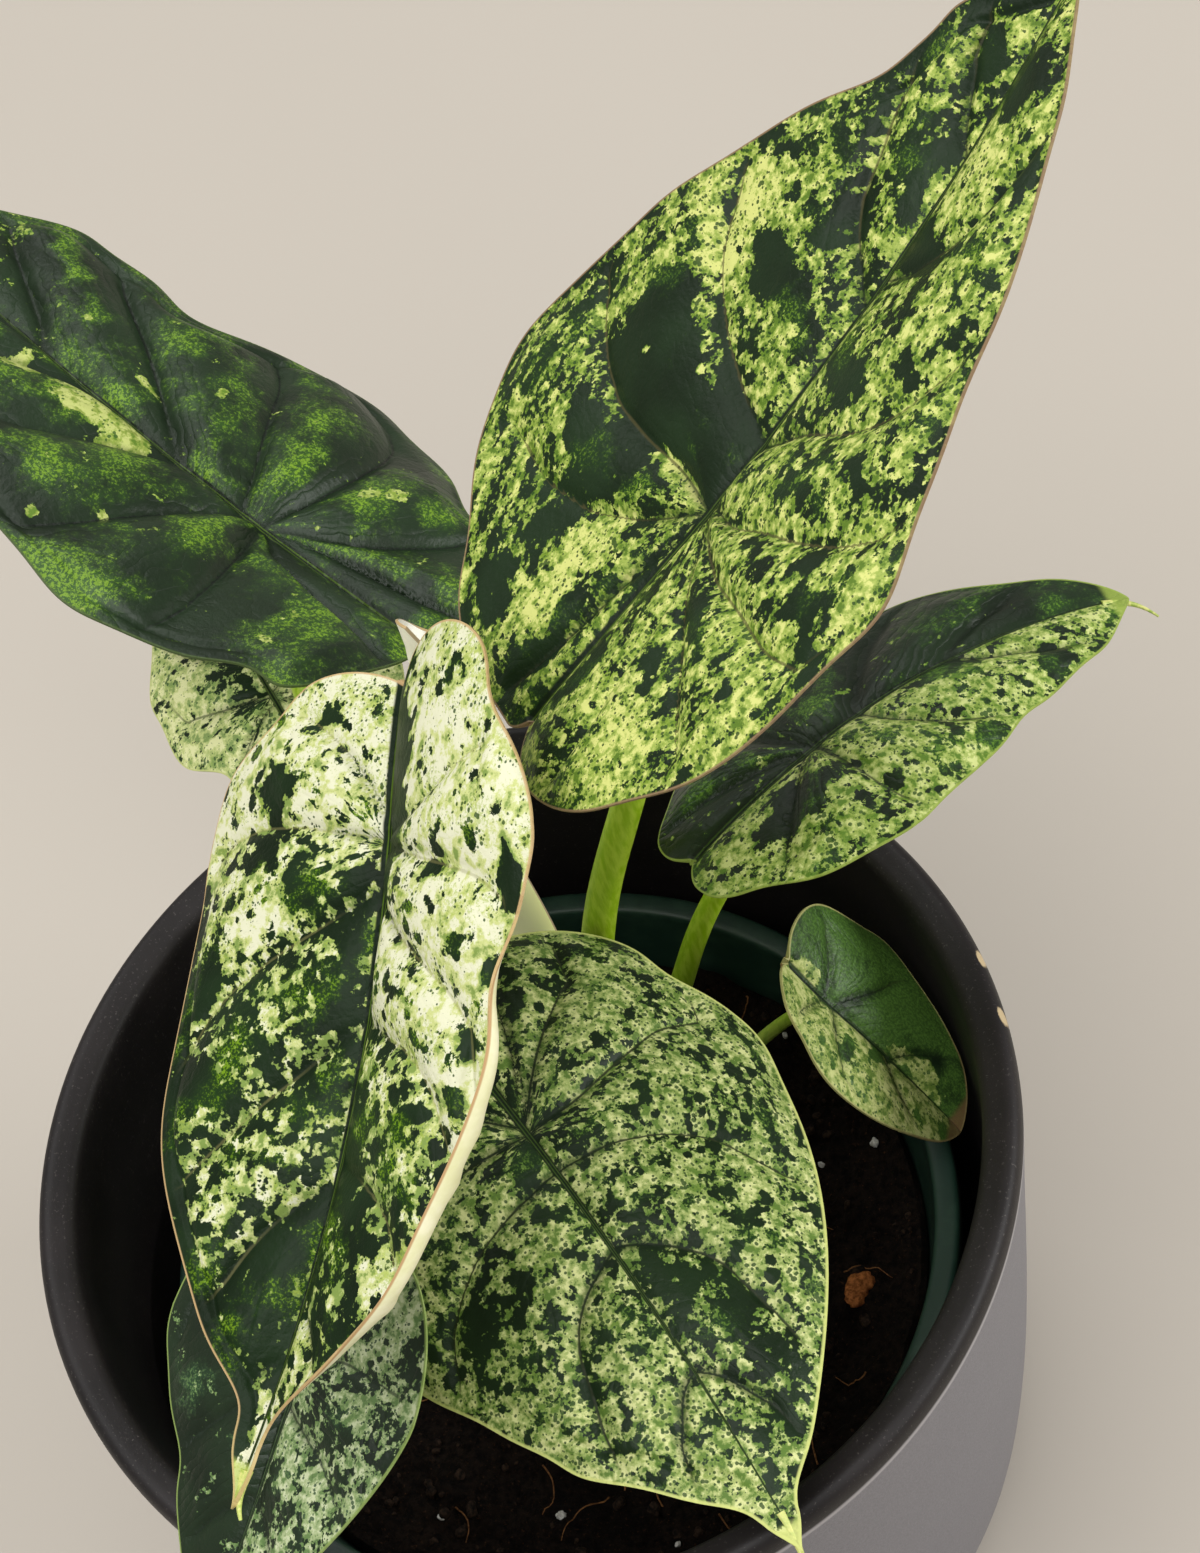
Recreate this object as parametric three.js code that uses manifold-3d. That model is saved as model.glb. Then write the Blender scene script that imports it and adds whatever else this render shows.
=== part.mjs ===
// A young mottled alocasia in a plastic nursery pot, which stands in a ceramic cachepot.
// Millimetres, +Z up. The origin is the middle of the cachepot's flat underside.
import * as THREE from "three";
import * as BufferGeometryUtils from "three/addons/utils/BufferGeometryUtils.js";
import Module from "manifold-3d";

const wasm = await Module();
wasm.setup();

// Driving dimensions of the pots
const clearance = 0.3;
const cachepotHeight = 125;
const cachepotRimRadius = 84;
const cachepotWall = 6.5;
const cachepotFloor = 8;
const cachepotFootRadius = 55;
const cachepotWaistRadius = 73;
const nurseryRimRadius = 69.7;
const nurseryHeight = 80.3;
const nurseryLip = 3.2;
const nurseryLipDrop = 7;
const nurseryWall = 1.4;
const nurseryBaseRadius = 50;
const nurseryFloor = cachepotFloor + clearance;
const nurseryRim = nurseryFloor + nurseryHeight;
const drainHoleRadius = 6;
const potSides = 46;

// Driving dimensions of the soil and the rhizome
const soilDepthBelowRim = 12.6;
const soilHeap = 1.6;
const soilRings = 7;
const soilSides = 40;
const soilSideGap = 0.8;
const crown = new THREE.Vector2(8, 15);
const rhizomeRadius = 14;
const rhizomeLength = 26;
const rhizomeTop = 80;
const rhizomeSides = 28;

// Driving dimensions that all leaves share
const bladeThickness = 0.9;
const midribThickness = 1.1;
const petioleSides = 8;
const petioleSteps = 10;
const youngLeafSteps = 18;
const lateralLean = 0.62;
const basalVeins = 3;
const swellFade = 4;

// Each leaf: where its blade sits on its stalk (junction), which way it points and how it bends (degrees),
// its own sizes (millimetres), and the stalk's base and way points.
// dip is how far the midrib falls at the junction, droop is what it gains by the tip, lobeDroop by the lobes.
// bank and twist roll the blade, left side up. fold lifts the left and right half from the midrib, and curl
// brings their margins down. shoulder and point shape the taper towards the tip. swells are the margin's own
// bulges and waists: the side, where along the midrib, over what length, and how far out.
const leaves = [
  {
    name: "back_right", junction: [62.3, 20.3, 244], color: 0x7d9a4a,
    heading: 14.5, sweep: 16.5, dip: -30.5, droop: 1, lobeDroop: 0, bank: -19.5, twist: 0,
    fold: [9.5, 20.5], curl: [0, 32],
    length: 93.5, lobeLength: 45, sinus: 41.5, halfWidth: [54.8, 50.6],
    lobeSpread: 0.24, shoulder: 1.47, point: 0.86,
    laterals: 4, pillow: 1.0, rows: 24, columns: 6,
    swells: [[1, 82, 5, 3], [1, 66, 7, -2.6], [1, 30, 9, 1.1], [1, -8, 9, 1.8], [1, -34, 7, -4],
      [-1, 14, 8, 3.2], [-1, 40, 9, -1.5], [-1, 77, 6, 0.9], [-1, -31, 7, -1.5]],
    stalkBase: [13, 23.2], stalkRadius: [3.1, 2.3],
    stalkWay: [[24.5, 27.5, 133], [37.5, 22, 178]],
  },
  {
    name: "back_left", junction: [-3.8, 87, 195], color: 0x3f6130,
    heading: 119.5, sweep: -8, dip: -6, droop: 7, lobeDroop: -5, bank: 19, twist: -2,
    fold: [31, 10], curl: [37, 43],
    length: 110, lobeLength: 42, sinus: 38.5, halfWidth: [41, 41],
    lobeSpread: 0.3, shoulder: 1.8, point: 0.86,
    laterals: 4, pillow: 1.3, rows: 24, columns: 6,
    swells: [[1, 2, 9, 1.8], [1, -28, 5, -1.5], [1, -38, 5, 4.5],
      [-1, 78, 8, 3.5], [-1, 46, 11, -6.5], [-1, 15, 10, 5], [-1, -20, 10, -7]],
    stalkBase: [-1.6, 18.6], stalkRadius: [2.9, 2.1],
    stalkWay: [[-7, 35, 118], [-8, 45, 155], [-6, 63, 178]],
  },
  {
    name: "front_tall", junction: [1.6, 0.2, 222], color: 0xc9cf94,
    heading: -115.5, sweep: -22, dip: 22, droop: 0, lobeDroop: 17, bank: 21.5, twist: -27,
    fold: [47, 10], curl: [50, 39],
    length: 99, lobeLength: 28.5, sinus: 25, halfWidth: [38.5, 40.5],
    lobeSpread: 0.33, shoulder: 2.6, point: 1.5,
    laterals: 4, pillow: 0.9, rows: 24, columns: 6,
    swells: [[1, 1, 6, 1.8], [1, -15, 6, -3.5], [1, 20, 7, -3], [1, 63, 9, 2], [1, 85, 8, -4.5],
      [-1, 1, 5, 1.3], [-1, -23, 5, -5], [-1, 50, 16, 3], [-1, 84, 5, -3.3]],
    stalkBase: [4, 24.6], stalkRadius: [2.9, 2],
    stalkWay: [[0.8, 32, 115], [0, 34, 158], [2, 22, 196]],
  },
  {
    name: "front_low", junction: [3.5, -12.9, 150], color: 0x93ad70,
    heading: -73, sweep: -7, dip: 6.5, droop: 12, lobeDroop: 18, bank: -1.5, twist: 2,
    fold: [1, 6], curl: [43, 55],
    length: 80, lobeLength: 36, sinus: 27, halfWidth: [45, 45],
    lobeSpread: 0.33, shoulder: 1.98, point: 1.3,
    laterals: 4, pillow: 0.8, rows: 22, columns: 6,
    swells: [[1, 3, 7, 1.7], [1, -16, 7, -3], [1, 71, 4, -1.6],
      [-1, 52, 5, 1.8], [-1, 33, 6, -0.9], [-1, 70, 4, -1.6]],
    stalkBase: [8, 6], stalkRadius: [2.6, 1.9],
    stalkWay: [[7.5, -1, 112], [6, -8, 136]],
  },
  {
    name: "right", junction: [67.7, 19.1, 178], color: 0x6f8c40,
    heading: 23, sweep: -20, dip: 3, droop: 18, lobeDroop: 21, bank: -15.5, twist: 17,
    fold: [0, 16], curl: [36, 40],
    length: 61, lobeLength: 29.4, sinus: 26.6, halfWidth: [25, 25.4],
    lobeSpread: 0.24, shoulder: 1.76, point: 0.82,
    laterals: 4, pillow: 0.7, rows: 20, columns: 5,
    swells: [[1, 28, 7, 2], [1, 44, 6, -1.4], [1, -24, 5, -2.5],
      [-1, 52, 5, 1.3], [-1, 30, 5, -1.1], [-1, 0, 6, 1], [-1, -23, 5, -2.3]],
    stalkBase: [18, 15.8], stalkRadius: [2.2, 1.7],
    stalkWay: [[34, 27, 107], [44.5, 27, 131]],
  },
  {
    name: "inside_pot", junction: [57.4, 6.6, 120], color: 0x87a350,
    heading: -52, sweep: -2, dip: 44, droop: 9, lobeDroop: -15, bank: -20.5, twist: 12,
    fold: [18.5, 30], curl: [41, 27],
    length: 34, lobeLength: 14, sinus: 11, halfWidth: [18, 18.4],
    lobeSpread: 0.33, shoulder: 1.95, point: 0.8,
    laterals: 3, pillow: 0.4, rows: 16, columns: 4,
    swells: [[1, 4, 6, 2.6], [1, 28, 5, 0.8], [-1, 30, 5, 0.8], [-1, -6, 6, -2.5]],
    stalkBase: [16.8, 8.6], stalkRadius: [1.4, 1.1],
    stalkWay: [[29, 14.5, 90], [44, 18, 96.5], [51.5, 14, 108]],
  },
  {
    name: "behind_left", junction: [-13.4, 80.8, 158], color: 0xa9bd78,
    heading: 100, sweep: -10, dip: 6, droop: 8, lobeDroop: 13, bank: -8, twist: 2,
    fold: [6, 10], curl: [41, 34],
    length: 55, lobeLength: 23, sinus: 19, halfWidth: [22, 23.3],
    lobeSpread: 0.34, shoulder: 1.8, point: 1.13,
    laterals: 4, pillow: 0.6, rows: 18, columns: 5,
    swells: [[1, 18, 5, 2], [1, -9, 8, -7]],
    stalkBase: [-2, 12.2], stalkRadius: [2, 1.5],
    stalkWay: [[-17, 30, 104], [-21, 56, 136]],
  },
  {
    name: "front_left", junction: [-42, -37.3, 150], color: 0x56714a,
    heading: -134.5, sweep: -8, dip: 27.5, droop: 10, lobeDroop: 10, bank: 14, twist: 5,
    fold: [19, 9], curl: [21, 17],
    length: 56, lobeLength: 22.5, sinus: 18, halfWidth: [28.2, 28.2],
    lobeSpread: 0.36, shoulder: 1.54, point: 1.23,
    laterals: 4, pillow: 0.6, rows: 18, columns: 5,
    swells: [[-1, 23, 5, -2.2], [-1, 5, 5, 0.9]],
    stalkBase: [1.2, 7], stalkRadius: [2.2, 1.6],
    stalkWay: [[-16, -11, 99], [-33, -28, 113], [-41.5, -36.5, 131]],
  },
];

// The young leaf: a cream roll behind the tall front leaf, in a sheath at its foot. Its radii are at shares of
// its length.
const youngLeafWay = [[9.2, 25.4, 100], [12.8, 35.5, 122], [14, 40, 160], [15, 36, 219]];
const youngLeafBase = [7.2, 16.6];
const youngLeafRadii = [[0, 3.4], [0.2, 4], [0.33, 5.2], [0.45, 3.2], [0.8, 2.9], [0.97, 3.8], [1, 3.3]];

const radians = (degrees) => (degrees * Math.PI) / 180;

// Which of a leaf's [left, right] values a side takes: side is 1 on the left, -1 on the right
const sided = (pair, side) => pair[side > 0 ? 0 : 1];

// How far the margin's bulges and waists move it out at s. They fade where the blade ends.
function marginSwell(leaf, side, s, plainMargin) {
  const behind = Math.min(Math.max(-s, 0) / leaf.lobeLength, 1);
  const fade = Math.min(1, plainMargin / swellFade, 3 * Math.sqrt(1 - behind ** 2));
  const own = leaf.swells.filter(([swellSide]) => swellSide === side);
  return own.reduce((sum, [, at, long, out]) => sum + fade * out * Math.exp(-(((s - at) / long) ** 2)), 0);
}

// Blade outline: distance from the midrib to the inner edge (0 but in the sinus) and to the margin, at s.
// s runs along the midrib from the junction, up to length at the tip, down to -lobeLength at the lobes' ends.
function bladeEdges(leaf, side, s) {
  const halfWidth = sided(leaf.halfWidth, side);
  const lobeTip = leaf.lobeSpread * halfWidth;
  const ahead = Math.min(Math.max(s, 0) / leaf.length, 1);
  const behind = Math.min(Math.max(-s, 0) / leaf.lobeLength, 1);
  const intoSinus = Math.max(0, Math.min(1, (-s - leaf.sinus) / (leaf.lobeLength - leaf.sinus)));
  const foreMargin = halfWidth * (1 - ahead ** leaf.shoulder) ** leaf.point;
  const lobeMargin = lobeTip + (halfWidth - lobeTip) * Math.sqrt(1 - behind ** 2);
  const plainMargin = s >= 0 ? foreMargin : lobeMargin;
  return {
    inner: lobeTip * (1 - Math.sqrt(1 - intoSinus)),
    outer: plainMargin + marginSwell(leaf, side, s, plainMargin),
  };
}

// The midrib's directions at s: along it, to the blade's left, and up from its face
function bladeFrame(leaf, s) {
  const ahead = Math.max(s, 0) / leaf.length;
  const behind = Math.max(-s, 0) / leaf.lobeLength;
  const dip = radians(leaf.dip + leaf.droop * ahead - leaf.lobeDroop * behind);
  const heading = radians(leaf.heading + leaf.sweep * ahead);
  const bank = radians(leaf.bank + leaf.twist * ahead);
  const along = new THREE.Vector3(
    Math.cos(dip) * Math.cos(heading),
    Math.cos(dip) * Math.sin(heading),
    -Math.sin(dip),
  );
  const left = new THREE.Vector3(-Math.sin(heading), Math.cos(heading), 0).applyAxisAngle(along, bank);
  const up = new THREE.Vector3().crossVectors(along, left);
  return { along, left, up };
}

// The midrib's point at s, summed up in short straight steps from the junction
function midribPoint(leaf, s) {
  const steps = 24;
  const point = new THREE.Vector3(...leaf.junction);
  for (let step = 0; step < steps; step += 1) {
    const middle = (s * (step + 0.5)) / steps;
    point.addScaledVector(bladeFrame(leaf, middle).along, s / steps);
  }
  return point;
}

// Vein number at a place on the blade: whole on a lateral vein, falling below 0 on those of the basal lobes
function veinNumber(leaf, s, x) {
  const spacing = leaf.length / (leaf.laterals + 1);
  const root = s - lateralLean * x;
  if (root >= 0) return root / spacing;
  const leanAngle = Math.atan2(1, lateralLean);
  const angle = Math.atan2(x, s);
  return (-basalVeins * (angle - leanAngle)) / (Math.PI - leanAngle);
}

// Relief of the upper face: a low pillow between each two veins
function bladeRelief(leaf, s, x, outer) {
  const across = outer > 0 ? x / outer : 0;
  const pillow = Math.sin(Math.PI * veinNumber(leaf, s, x)) ** 2;
  return leaf.pillow * pillow * Math.max(0, Math.sin(Math.PI * Math.min(1, across * 1.15) ** 0.8));
}

// A place on the upper face, and the direction through the blade there
function bladePlace(leaf, side, s, x) {
  const { outer } = bladeEdges(leaf, side, s);
  const { left, up } = bladeFrame(leaf, s);
  const fold = radians(sided(leaf.fold, side));
  const curl = radians(sided(leaf.curl, side)) / sided(leaf.halfWidth, side);
  const steps = 10;
  let sideways = 0;
  let upwards = 0;
  for (let step = 0; step < steps; step += 1) {
    const angle = fold - (curl * x * (step + 0.5)) / steps;
    sideways += (Math.cos(angle) * x) / steps;
    upwards += (Math.sin(angle) * x) / steps;
  }
  const slope = x === 0 ? 0 : fold - curl * x;
  const normal = up.clone().multiplyScalar(Math.cos(slope)).addScaledVector(left, -side * Math.sin(slope));
  const point = midribPoint(leaf, s)
    .addScaledVector(left, side * sideways)
    .addScaledVector(up, upwards)
    .addScaledVector(normal, bladeRelief(leaf, s, x, outer));
  return { point, normal };
}

function midribDepth(leaf, s) {
  return midribThickness * Math.max(0.15, 1 - Math.abs(s) / leaf.length);
}

// Stations along the midrib, closer together where the outline turns round the lobes
function bladeStations(leaf) {
  const lobeRows = 3;
  const baseRows = Math.round(leaf.rows * 0.28);
  const foreRows = leaf.rows - lobeRows - baseRows;
  const stations = [];
  for (let row = 0; row < lobeRows; row += 1) {
    const share = Math.cos((row / lobeRows) * (Math.PI / 2));
    stations.push(-leaf.sinus - (leaf.lobeLength - leaf.sinus) * share);
  }
  for (let row = 0; row < baseRows; row += 1) stations.push(-leaf.sinus * (1 - row / baseRows) ** 0.85);
  for (let row = 0; row <= foreRows; row += 1) stations.push((leaf.length * row) / foreRows);
  return stations;
}

// The closed solid between two copies of one sheet of triangles
function solidFromSheet(upper, lower, triangles) {
  const count = upper.length;
  const positions = [...upper, ...lower].flatMap((point) => [point.x, point.y, point.z]);
  const index = [];
  const edges = new Set();
  for (const [a, b, c] of triangles) {
    index.push(a, b, c, count + c, count + b, count + a);
    for (const [from, to] of [[a, b], [b, c], [c, a]]) edges.add(`${from} ${to}`);
  }
  for (const edge of edges) {
    const [from, to] = edge.split(" ").map(Number);
    if (edges.has(`${to} ${from}`)) continue;
    index.push(to, from, count + from, to, count + from, count + to);
  }
  const geometry = new THREE.BufferGeometry();
  geometry.setAttribute("position", new THREE.Float32BufferAttribute(positions, 3));
  geometry.setIndex(index);
  return geometry;
}

function bladeGeometry(leaf) {
  const stations = bladeStations(leaf);
  const upper = [];
  const lower = [];
  const numbers = new Map();
  function vertex(side, row, column) {
    const s = stations[row];
    const { inner, outer } = bladeEdges(leaf, side, s);
    const width = outer - inner;
    const x = width < 1e-6 ? inner : inner + (width * column) / leaf.columns;
    const place = width < 1e-6 ? 0 : column;
    const key = x < 1e-6 ? `midrib ${row}` : `${side} ${row} ${place}`;
    if (!numbers.has(key)) {
      const { point, normal } = bladePlace(leaf, side, s, x < 1e-6 ? 0 : x);
      const depth = bladeThickness + (x < 1e-6 ? midribDepth(leaf, s) : 0);
      numbers.set(key, upper.length);
      upper.push(point);
      lower.push(point.clone().addScaledVector(normal, -depth));
    }
    return numbers.get(key);
  }
  const triangles = [];
  for (const side of [1, -1]) {
    for (let row = 0; row < stations.length - 1; row += 1) {
      for (let column = 0; column < leaf.columns; column += 1) {
        const corners = [[0, 0], [1, 0], [1, 1], [0, 1]];
        const [a, b, c, d] = corners.map(([down, out]) => vertex(side, row + down, column + out));
        for (const [p, q, r] of [[a, b, c], [a, c, d]]) {
          if (p === q || q === r || r === p) continue;
          triangles.push(side > 0 ? [p, q, r] : [p, r, q]);
        }
      }
    }
  }
  return solidFromSheet(upper, lower, triangles);
}

// A round tapering stem along a curve, its rings from start to end, closed at both ends
function stemGeometry(rings) {
  const sides = rings[0].length;
  const positions = rings.flat();
  const first = positions.length;
  const last = first + 1;
  positions.push(centreOf(rings[0]), centreOf(rings[rings.length - 1]));
  const index = [];
  for (let ring = 0; ring < rings.length - 1; ring += 1) {
    for (let side = 0; side < sides; side += 1) {
      const next = (side + 1) % sides;
      const a = ring * sides + side;
      const b = ring * sides + next;
      index.push(a, b, b + sides, a, b + sides, a + sides);
    }
  }
  const end = (rings.length - 1) * sides;
  for (let side = 0; side < sides; side += 1) {
    const next = (side + 1) % sides;
    index.push(first, next, side, last, end + side, end + next);
  }
  const geometry = new THREE.BufferGeometry();
  geometry.setAttribute(
    "position",
    new THREE.Float32BufferAttribute(positions.flatMap((point) => [point.x, point.y, point.z]), 3),
  );
  geometry.setIndex(index);
  return geometry;
}

function centreOf(points) {
  return points.reduce((sum, point) => sum.add(point), new THREE.Vector3()).divideScalar(points.length);
}

// Rings round a curve; radiusAt gives the radius for a share of the length. The first ring is cut level.
function stemRings(way, radiusAt, steps) {
  const curve = new THREE.CatmullRomCurve3(way.map((point) => new THREE.Vector3(...point)));
  const frames = curve.computeFrenetFrames(steps);
  const rings = [];
  for (let step = 0; step <= steps; step += 1) {
    const centre = curve.getPointAt(step / steps);
    const ring = [];
    for (let side = 0; side < petioleSides; side += 1) {
      const angle = (2 * Math.PI * side) / petioleSides;
      ring.push(
        centre.clone()
          .addScaledVector(frames.normals[step], radiusAt(step / steps) * Math.cos(angle))
          .addScaledVector(frames.binormals[step], radiusAt(step / steps) * Math.sin(angle)),
      );
    }
    rings.push(ring);
  }
  for (const point of rings[0]) point.z = way[0][2];
  return { rings, endDirection: curve.getTangentAt(1) };
}

// A petiole from the rhizome's top to just under its blade's midrib, its upper end cut to the blade's plane
function petioleGeometry(leaf) {
  const { up } = bladeFrame(leaf, 0);
  const under = new THREE.Vector3(...leaf.junction)
    .addScaledVector(up, -(bladeThickness + midribThickness + clearance));
  const start = [...leaf.stalkBase, rhizomeTop + clearance];
  const way = [start, ...leaf.stalkWay, under.toArray()];
  const [thick, thin] = leaf.stalkRadius;
  const { rings, endDirection } = stemRings(way, (share) => thick + (thin - thick) * share, petioleSteps);
  const seat = new THREE.Plane().setFromNormalAndCoplanarPoint(up, under);
  for (const point of rings[rings.length - 1]) {
    point.addScaledVector(endDirection, -seat.distanceToPoint(point) / endDirection.dot(up));
  }
  return stemGeometry(rings);
}

function youngLeafGeometry() {
  const way = [[...youngLeafBase, rhizomeTop + clearance], ...youngLeafWay];
  function radiusAt(share) {
    const next = Math.max(1, youngLeafRadii.findIndex(([at]) => at >= share));
    const [[low, from], [high, to]] = youngLeafRadii.slice(next - 1, next + 1);
    return from + ((to - from) * (share - low)) / (high - low);
  }
  return stemGeometry(stemRings(way, radiusAt, youngLeafSteps).rings);
}

// Cachepot: its profile from the flat foot's middle up the outside, over the rim and down the inside
function cachepotGeometry() {
  const innerRim = cachepotRimRadius - cachepotWall;
  const profile = [
    [0, 0],
    [cachepotFootRadius, 0],
    [62, 1.8],
    [67.5, 6.5],
    [71, 13],
    [cachepotWaistRadius, 22],
    [76.4, 44],
    [79.4, 72],
    [cachepotRimRadius - 2, 100],
    [cachepotRimRadius - 0.4, 118],
    [cachepotRimRadius, 121.5],
    [cachepotRimRadius - 0.7, 124],
    [cachepotRimRadius - 2.2, cachepotHeight],
    [innerRim + 1.5, 124.2],
    [innerRim, 122],
    [innerRim - 0.5, 108],
    [cachepotWaistRadius + 0.4, 60],
    [cachepotWaistRadius - 5, 26],
    [61, 13.5],
    [54, cachepotFloor],
    [0, cachepotFloor],
  ];
  return latheAroundZ(profile, potSides);
}

// Nursery pot: a thin wall with a rolled lip, open at its drain hole
function nurseryPotGeometry() {
  const floor = nurseryFloor;
  const rim = nurseryRim;
  const wallTop = nurseryRimRadius - nurseryLip;
  const profile = [
    [drainHoleRadius, floor],
    [nurseryBaseRadius - 2, floor],
    [nurseryBaseRadius, floor + 2],
    [wallTop - 0.6, rim - nurseryLipDrop - 1],
    [nurseryRimRadius - 0.4, rim - nurseryLipDrop],
    [nurseryRimRadius, rim - 1],
    [nurseryRimRadius - 1, rim],
    [wallTop - nurseryWall + 0.4, rim],
    [wallTop - nurseryWall, rim - 1],
    [wallTop - nurseryWall - 0.6, rim - nurseryLipDrop - 1],
    [nurseryBaseRadius - nurseryWall, floor + 2.4],
    [nurseryBaseRadius - 2.6, floor + nurseryWall],
    [drainHoleRadius, floor + nurseryWall],
    [drainHoleRadius, floor],
  ];
  return latheAroundZ(profile, potSides);
}

function latheAroundZ(profile, sides) {
  const points = profile.map(([radius, height]) => new THREE.Vector2(radius, height));
  return new THREE.LatheGeometry(points, sides).rotateX(Math.PI / 2);
}

// The nursery pot's inner radius at a height, between its floor and its lip
function nurseryInnerRadius(height) {
  const share = (height - nurseryFloor) / (nurseryHeight - nurseryLipDrop);
  const top = nurseryRimRadius - nurseryLip - nurseryWall - 0.6;
  const foot = nurseryBaseRadius - nurseryWall;
  return foot + (top - foot) * share;
}

// Soil: fills the nursery pot up to a lumpy top, with a plain hole that the rhizome stands in
function soilGeometry() {
  const bottom = nurseryFloor + nurseryWall + clearance;
  const top = nurseryRim - soilDepthBelowRim;
  const edge = nurseryInnerRadius(top) - soilSideGap;
  const profile = [[0, bottom], [nurseryInnerRadius(bottom) - 2.4, bottom], [edge, top - 1]];
  for (let ring = 1; ring < soilRings; ring += 1) profile.push([edge * (1 - ring / soilRings), top]);
  profile.push([0, top]);
  const geometry = latheAroundZ(profile, soilSides);
  const position = geometry.attributes.position;
  for (let number = 0; number < position.count; number += 1) {
    if (position.getZ(number) < top - 0.5) continue;
    position.setZ(number, top + soilLump(position.getX(number), position.getY(number)));
  }
  const holeRadius = rhizomeRadius + clearance;
  const hole = new THREE.CylinderGeometry(holeRadius, holeRadius, 2 * rhizomeLength, rhizomeSides);
  hole.rotateX(Math.PI / 2).translate(crown.x, crown.y, rhizomeTop - clearance);
  return subtract(geometry, hole);
}

function soilLump(x, y) {
  const heap = Math.sin(x * 0.31 + 1.3) * Math.cos(y * 0.27 - 0.4) + 0.6 * Math.sin(x * 0.11 - y * 0.19);
  return soilHeap * heap * 0.6;
}

// Rhizome: a short knobbly stem with a level top
function rhizomeGeometry() {
  const foot = rhizomeTop - rhizomeLength;
  const profile = [
    [0, foot],
    [rhizomeRadius * 0.6, foot],
    [rhizomeRadius * 0.93, foot + 5],
    [rhizomeRadius, foot + 13],
    [rhizomeRadius, rhizomeTop - 1.4],
    [rhizomeRadius - 0.9, rhizomeTop],
    [0, rhizomeTop],
  ];
  return latheAroundZ(profile, rhizomeSides).translate(crown.x, crown.y, 0);
}

function manifoldOf(geometry) {
  const bare = geometry.clone();
  bare.deleteAttribute("normal");
  bare.deleteAttribute("uv");
  const merged = BufferGeometryUtils.mergeVertices(bare, 1e-4);
  const mesh = new wasm.Mesh({
    numProp: 3,
    vertProperties: new Float32Array(merged.attributes.position.array),
    triVerts: new Uint32Array(merged.index.array),
  });
  return new wasm.Manifold(mesh);
}

function subtract(geometry, cutter) {
  const mesh = manifoldOf(geometry).subtract(manifoldOf(cutter)).getMesh();
  const result = new THREE.BufferGeometry();
  result.setAttribute("position", new THREE.Float32BufferAttribute(mesh.vertProperties, 3));
  result.setIndex(Array.from(mesh.triVerts));
  return result;
}

function piece(name, geometry, color, roughness) {
  geometry.computeVertexNormals();
  const material = new THREE.MeshStandardMaterial({ color, roughness, metalness: 0 });
  const mesh = new THREE.Mesh(geometry, material);
  mesh.name = name;
  return mesh;
}

const plant = new THREE.Group();
plant.add(piece("cachepot", cachepotGeometry(), 0x3a393b, 0.5));
plant.add(piece("nursery_pot", nurseryPotGeometry(), 0x234b3c, 0.45));
plant.add(piece("soil", soilGeometry(), 0x1f1713, 0.95));
plant.add(piece("rhizome", rhizomeGeometry(), 0x5b4a2e, 0.8));
for (const leaf of leaves) {
  plant.add(piece(`petiole_${leaf.name}`, petioleGeometry(leaf), 0x7fa13a, 0.45));
  plant.add(piece(`leaf_${leaf.name}`, bladeGeometry(leaf), leaf.color, 0.4));
}
plant.add(piece("young_leaf_rolled", youngLeafGeometry(), 0xe4dfb4, 0.5));

export default plant;
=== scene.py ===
# %% [markdown]
# # A potted alocasia with mottled mint leaves
#
# The plant stands in a plastic nursery pot, and that pot stands in a dark ceramic cachepot.
# A imported CAD model gives the size and the place of every piece. This lesson dresses it: each
# piece is modelled again with a finer form, laid exactly where its plain solid is, and given a
# finish made of shader nodes. Blender counts in metres, with +Z up. The forms below are given
# in millimetres, and become metres when their points are placed.

# %% Load the frame and keep its parts
import math

import bpy
import numpy as np
from mathutils import Euler, Matrix, Vector, noise


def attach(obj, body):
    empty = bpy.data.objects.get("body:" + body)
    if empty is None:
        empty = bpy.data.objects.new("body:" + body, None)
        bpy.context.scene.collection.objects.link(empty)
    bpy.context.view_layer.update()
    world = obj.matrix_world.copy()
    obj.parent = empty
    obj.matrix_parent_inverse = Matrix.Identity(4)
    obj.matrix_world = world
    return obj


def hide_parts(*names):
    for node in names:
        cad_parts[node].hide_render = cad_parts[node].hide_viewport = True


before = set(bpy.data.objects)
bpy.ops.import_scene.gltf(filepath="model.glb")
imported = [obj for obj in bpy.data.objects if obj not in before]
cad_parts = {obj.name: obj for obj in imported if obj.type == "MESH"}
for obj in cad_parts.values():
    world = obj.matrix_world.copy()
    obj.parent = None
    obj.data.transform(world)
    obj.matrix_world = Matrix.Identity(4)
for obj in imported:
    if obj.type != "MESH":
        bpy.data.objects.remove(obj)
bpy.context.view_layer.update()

MM = 0.001

# %% [markdown]
# ## The camera
#
# The photograph looks down on the plant at about 56 degrees, from quite far away, with the
# camera rolled a little to one side. The three directions below are the camera's own right,
# up and forward axes. A Blender camera looks along its -Z, so the forward axis goes in
# negated. A long lens keeps the leaves' sizes true to each other, as in the photograph.

# %% Place the camera
CAMERA_PLACE = Vector((0.0343518, -0.3263904, 0.7090016))
CAMERA_RIGHT = Vector((0.93610802, -0.2926087, -0.1951459))
CAMERA_UP = Vector((0.35171263, 0.77879873, 0.51939461))
CAMERA_FORWARD = Vector((0.0, 0.55484473, -0.83195392))
LENS = 92.72

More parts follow.
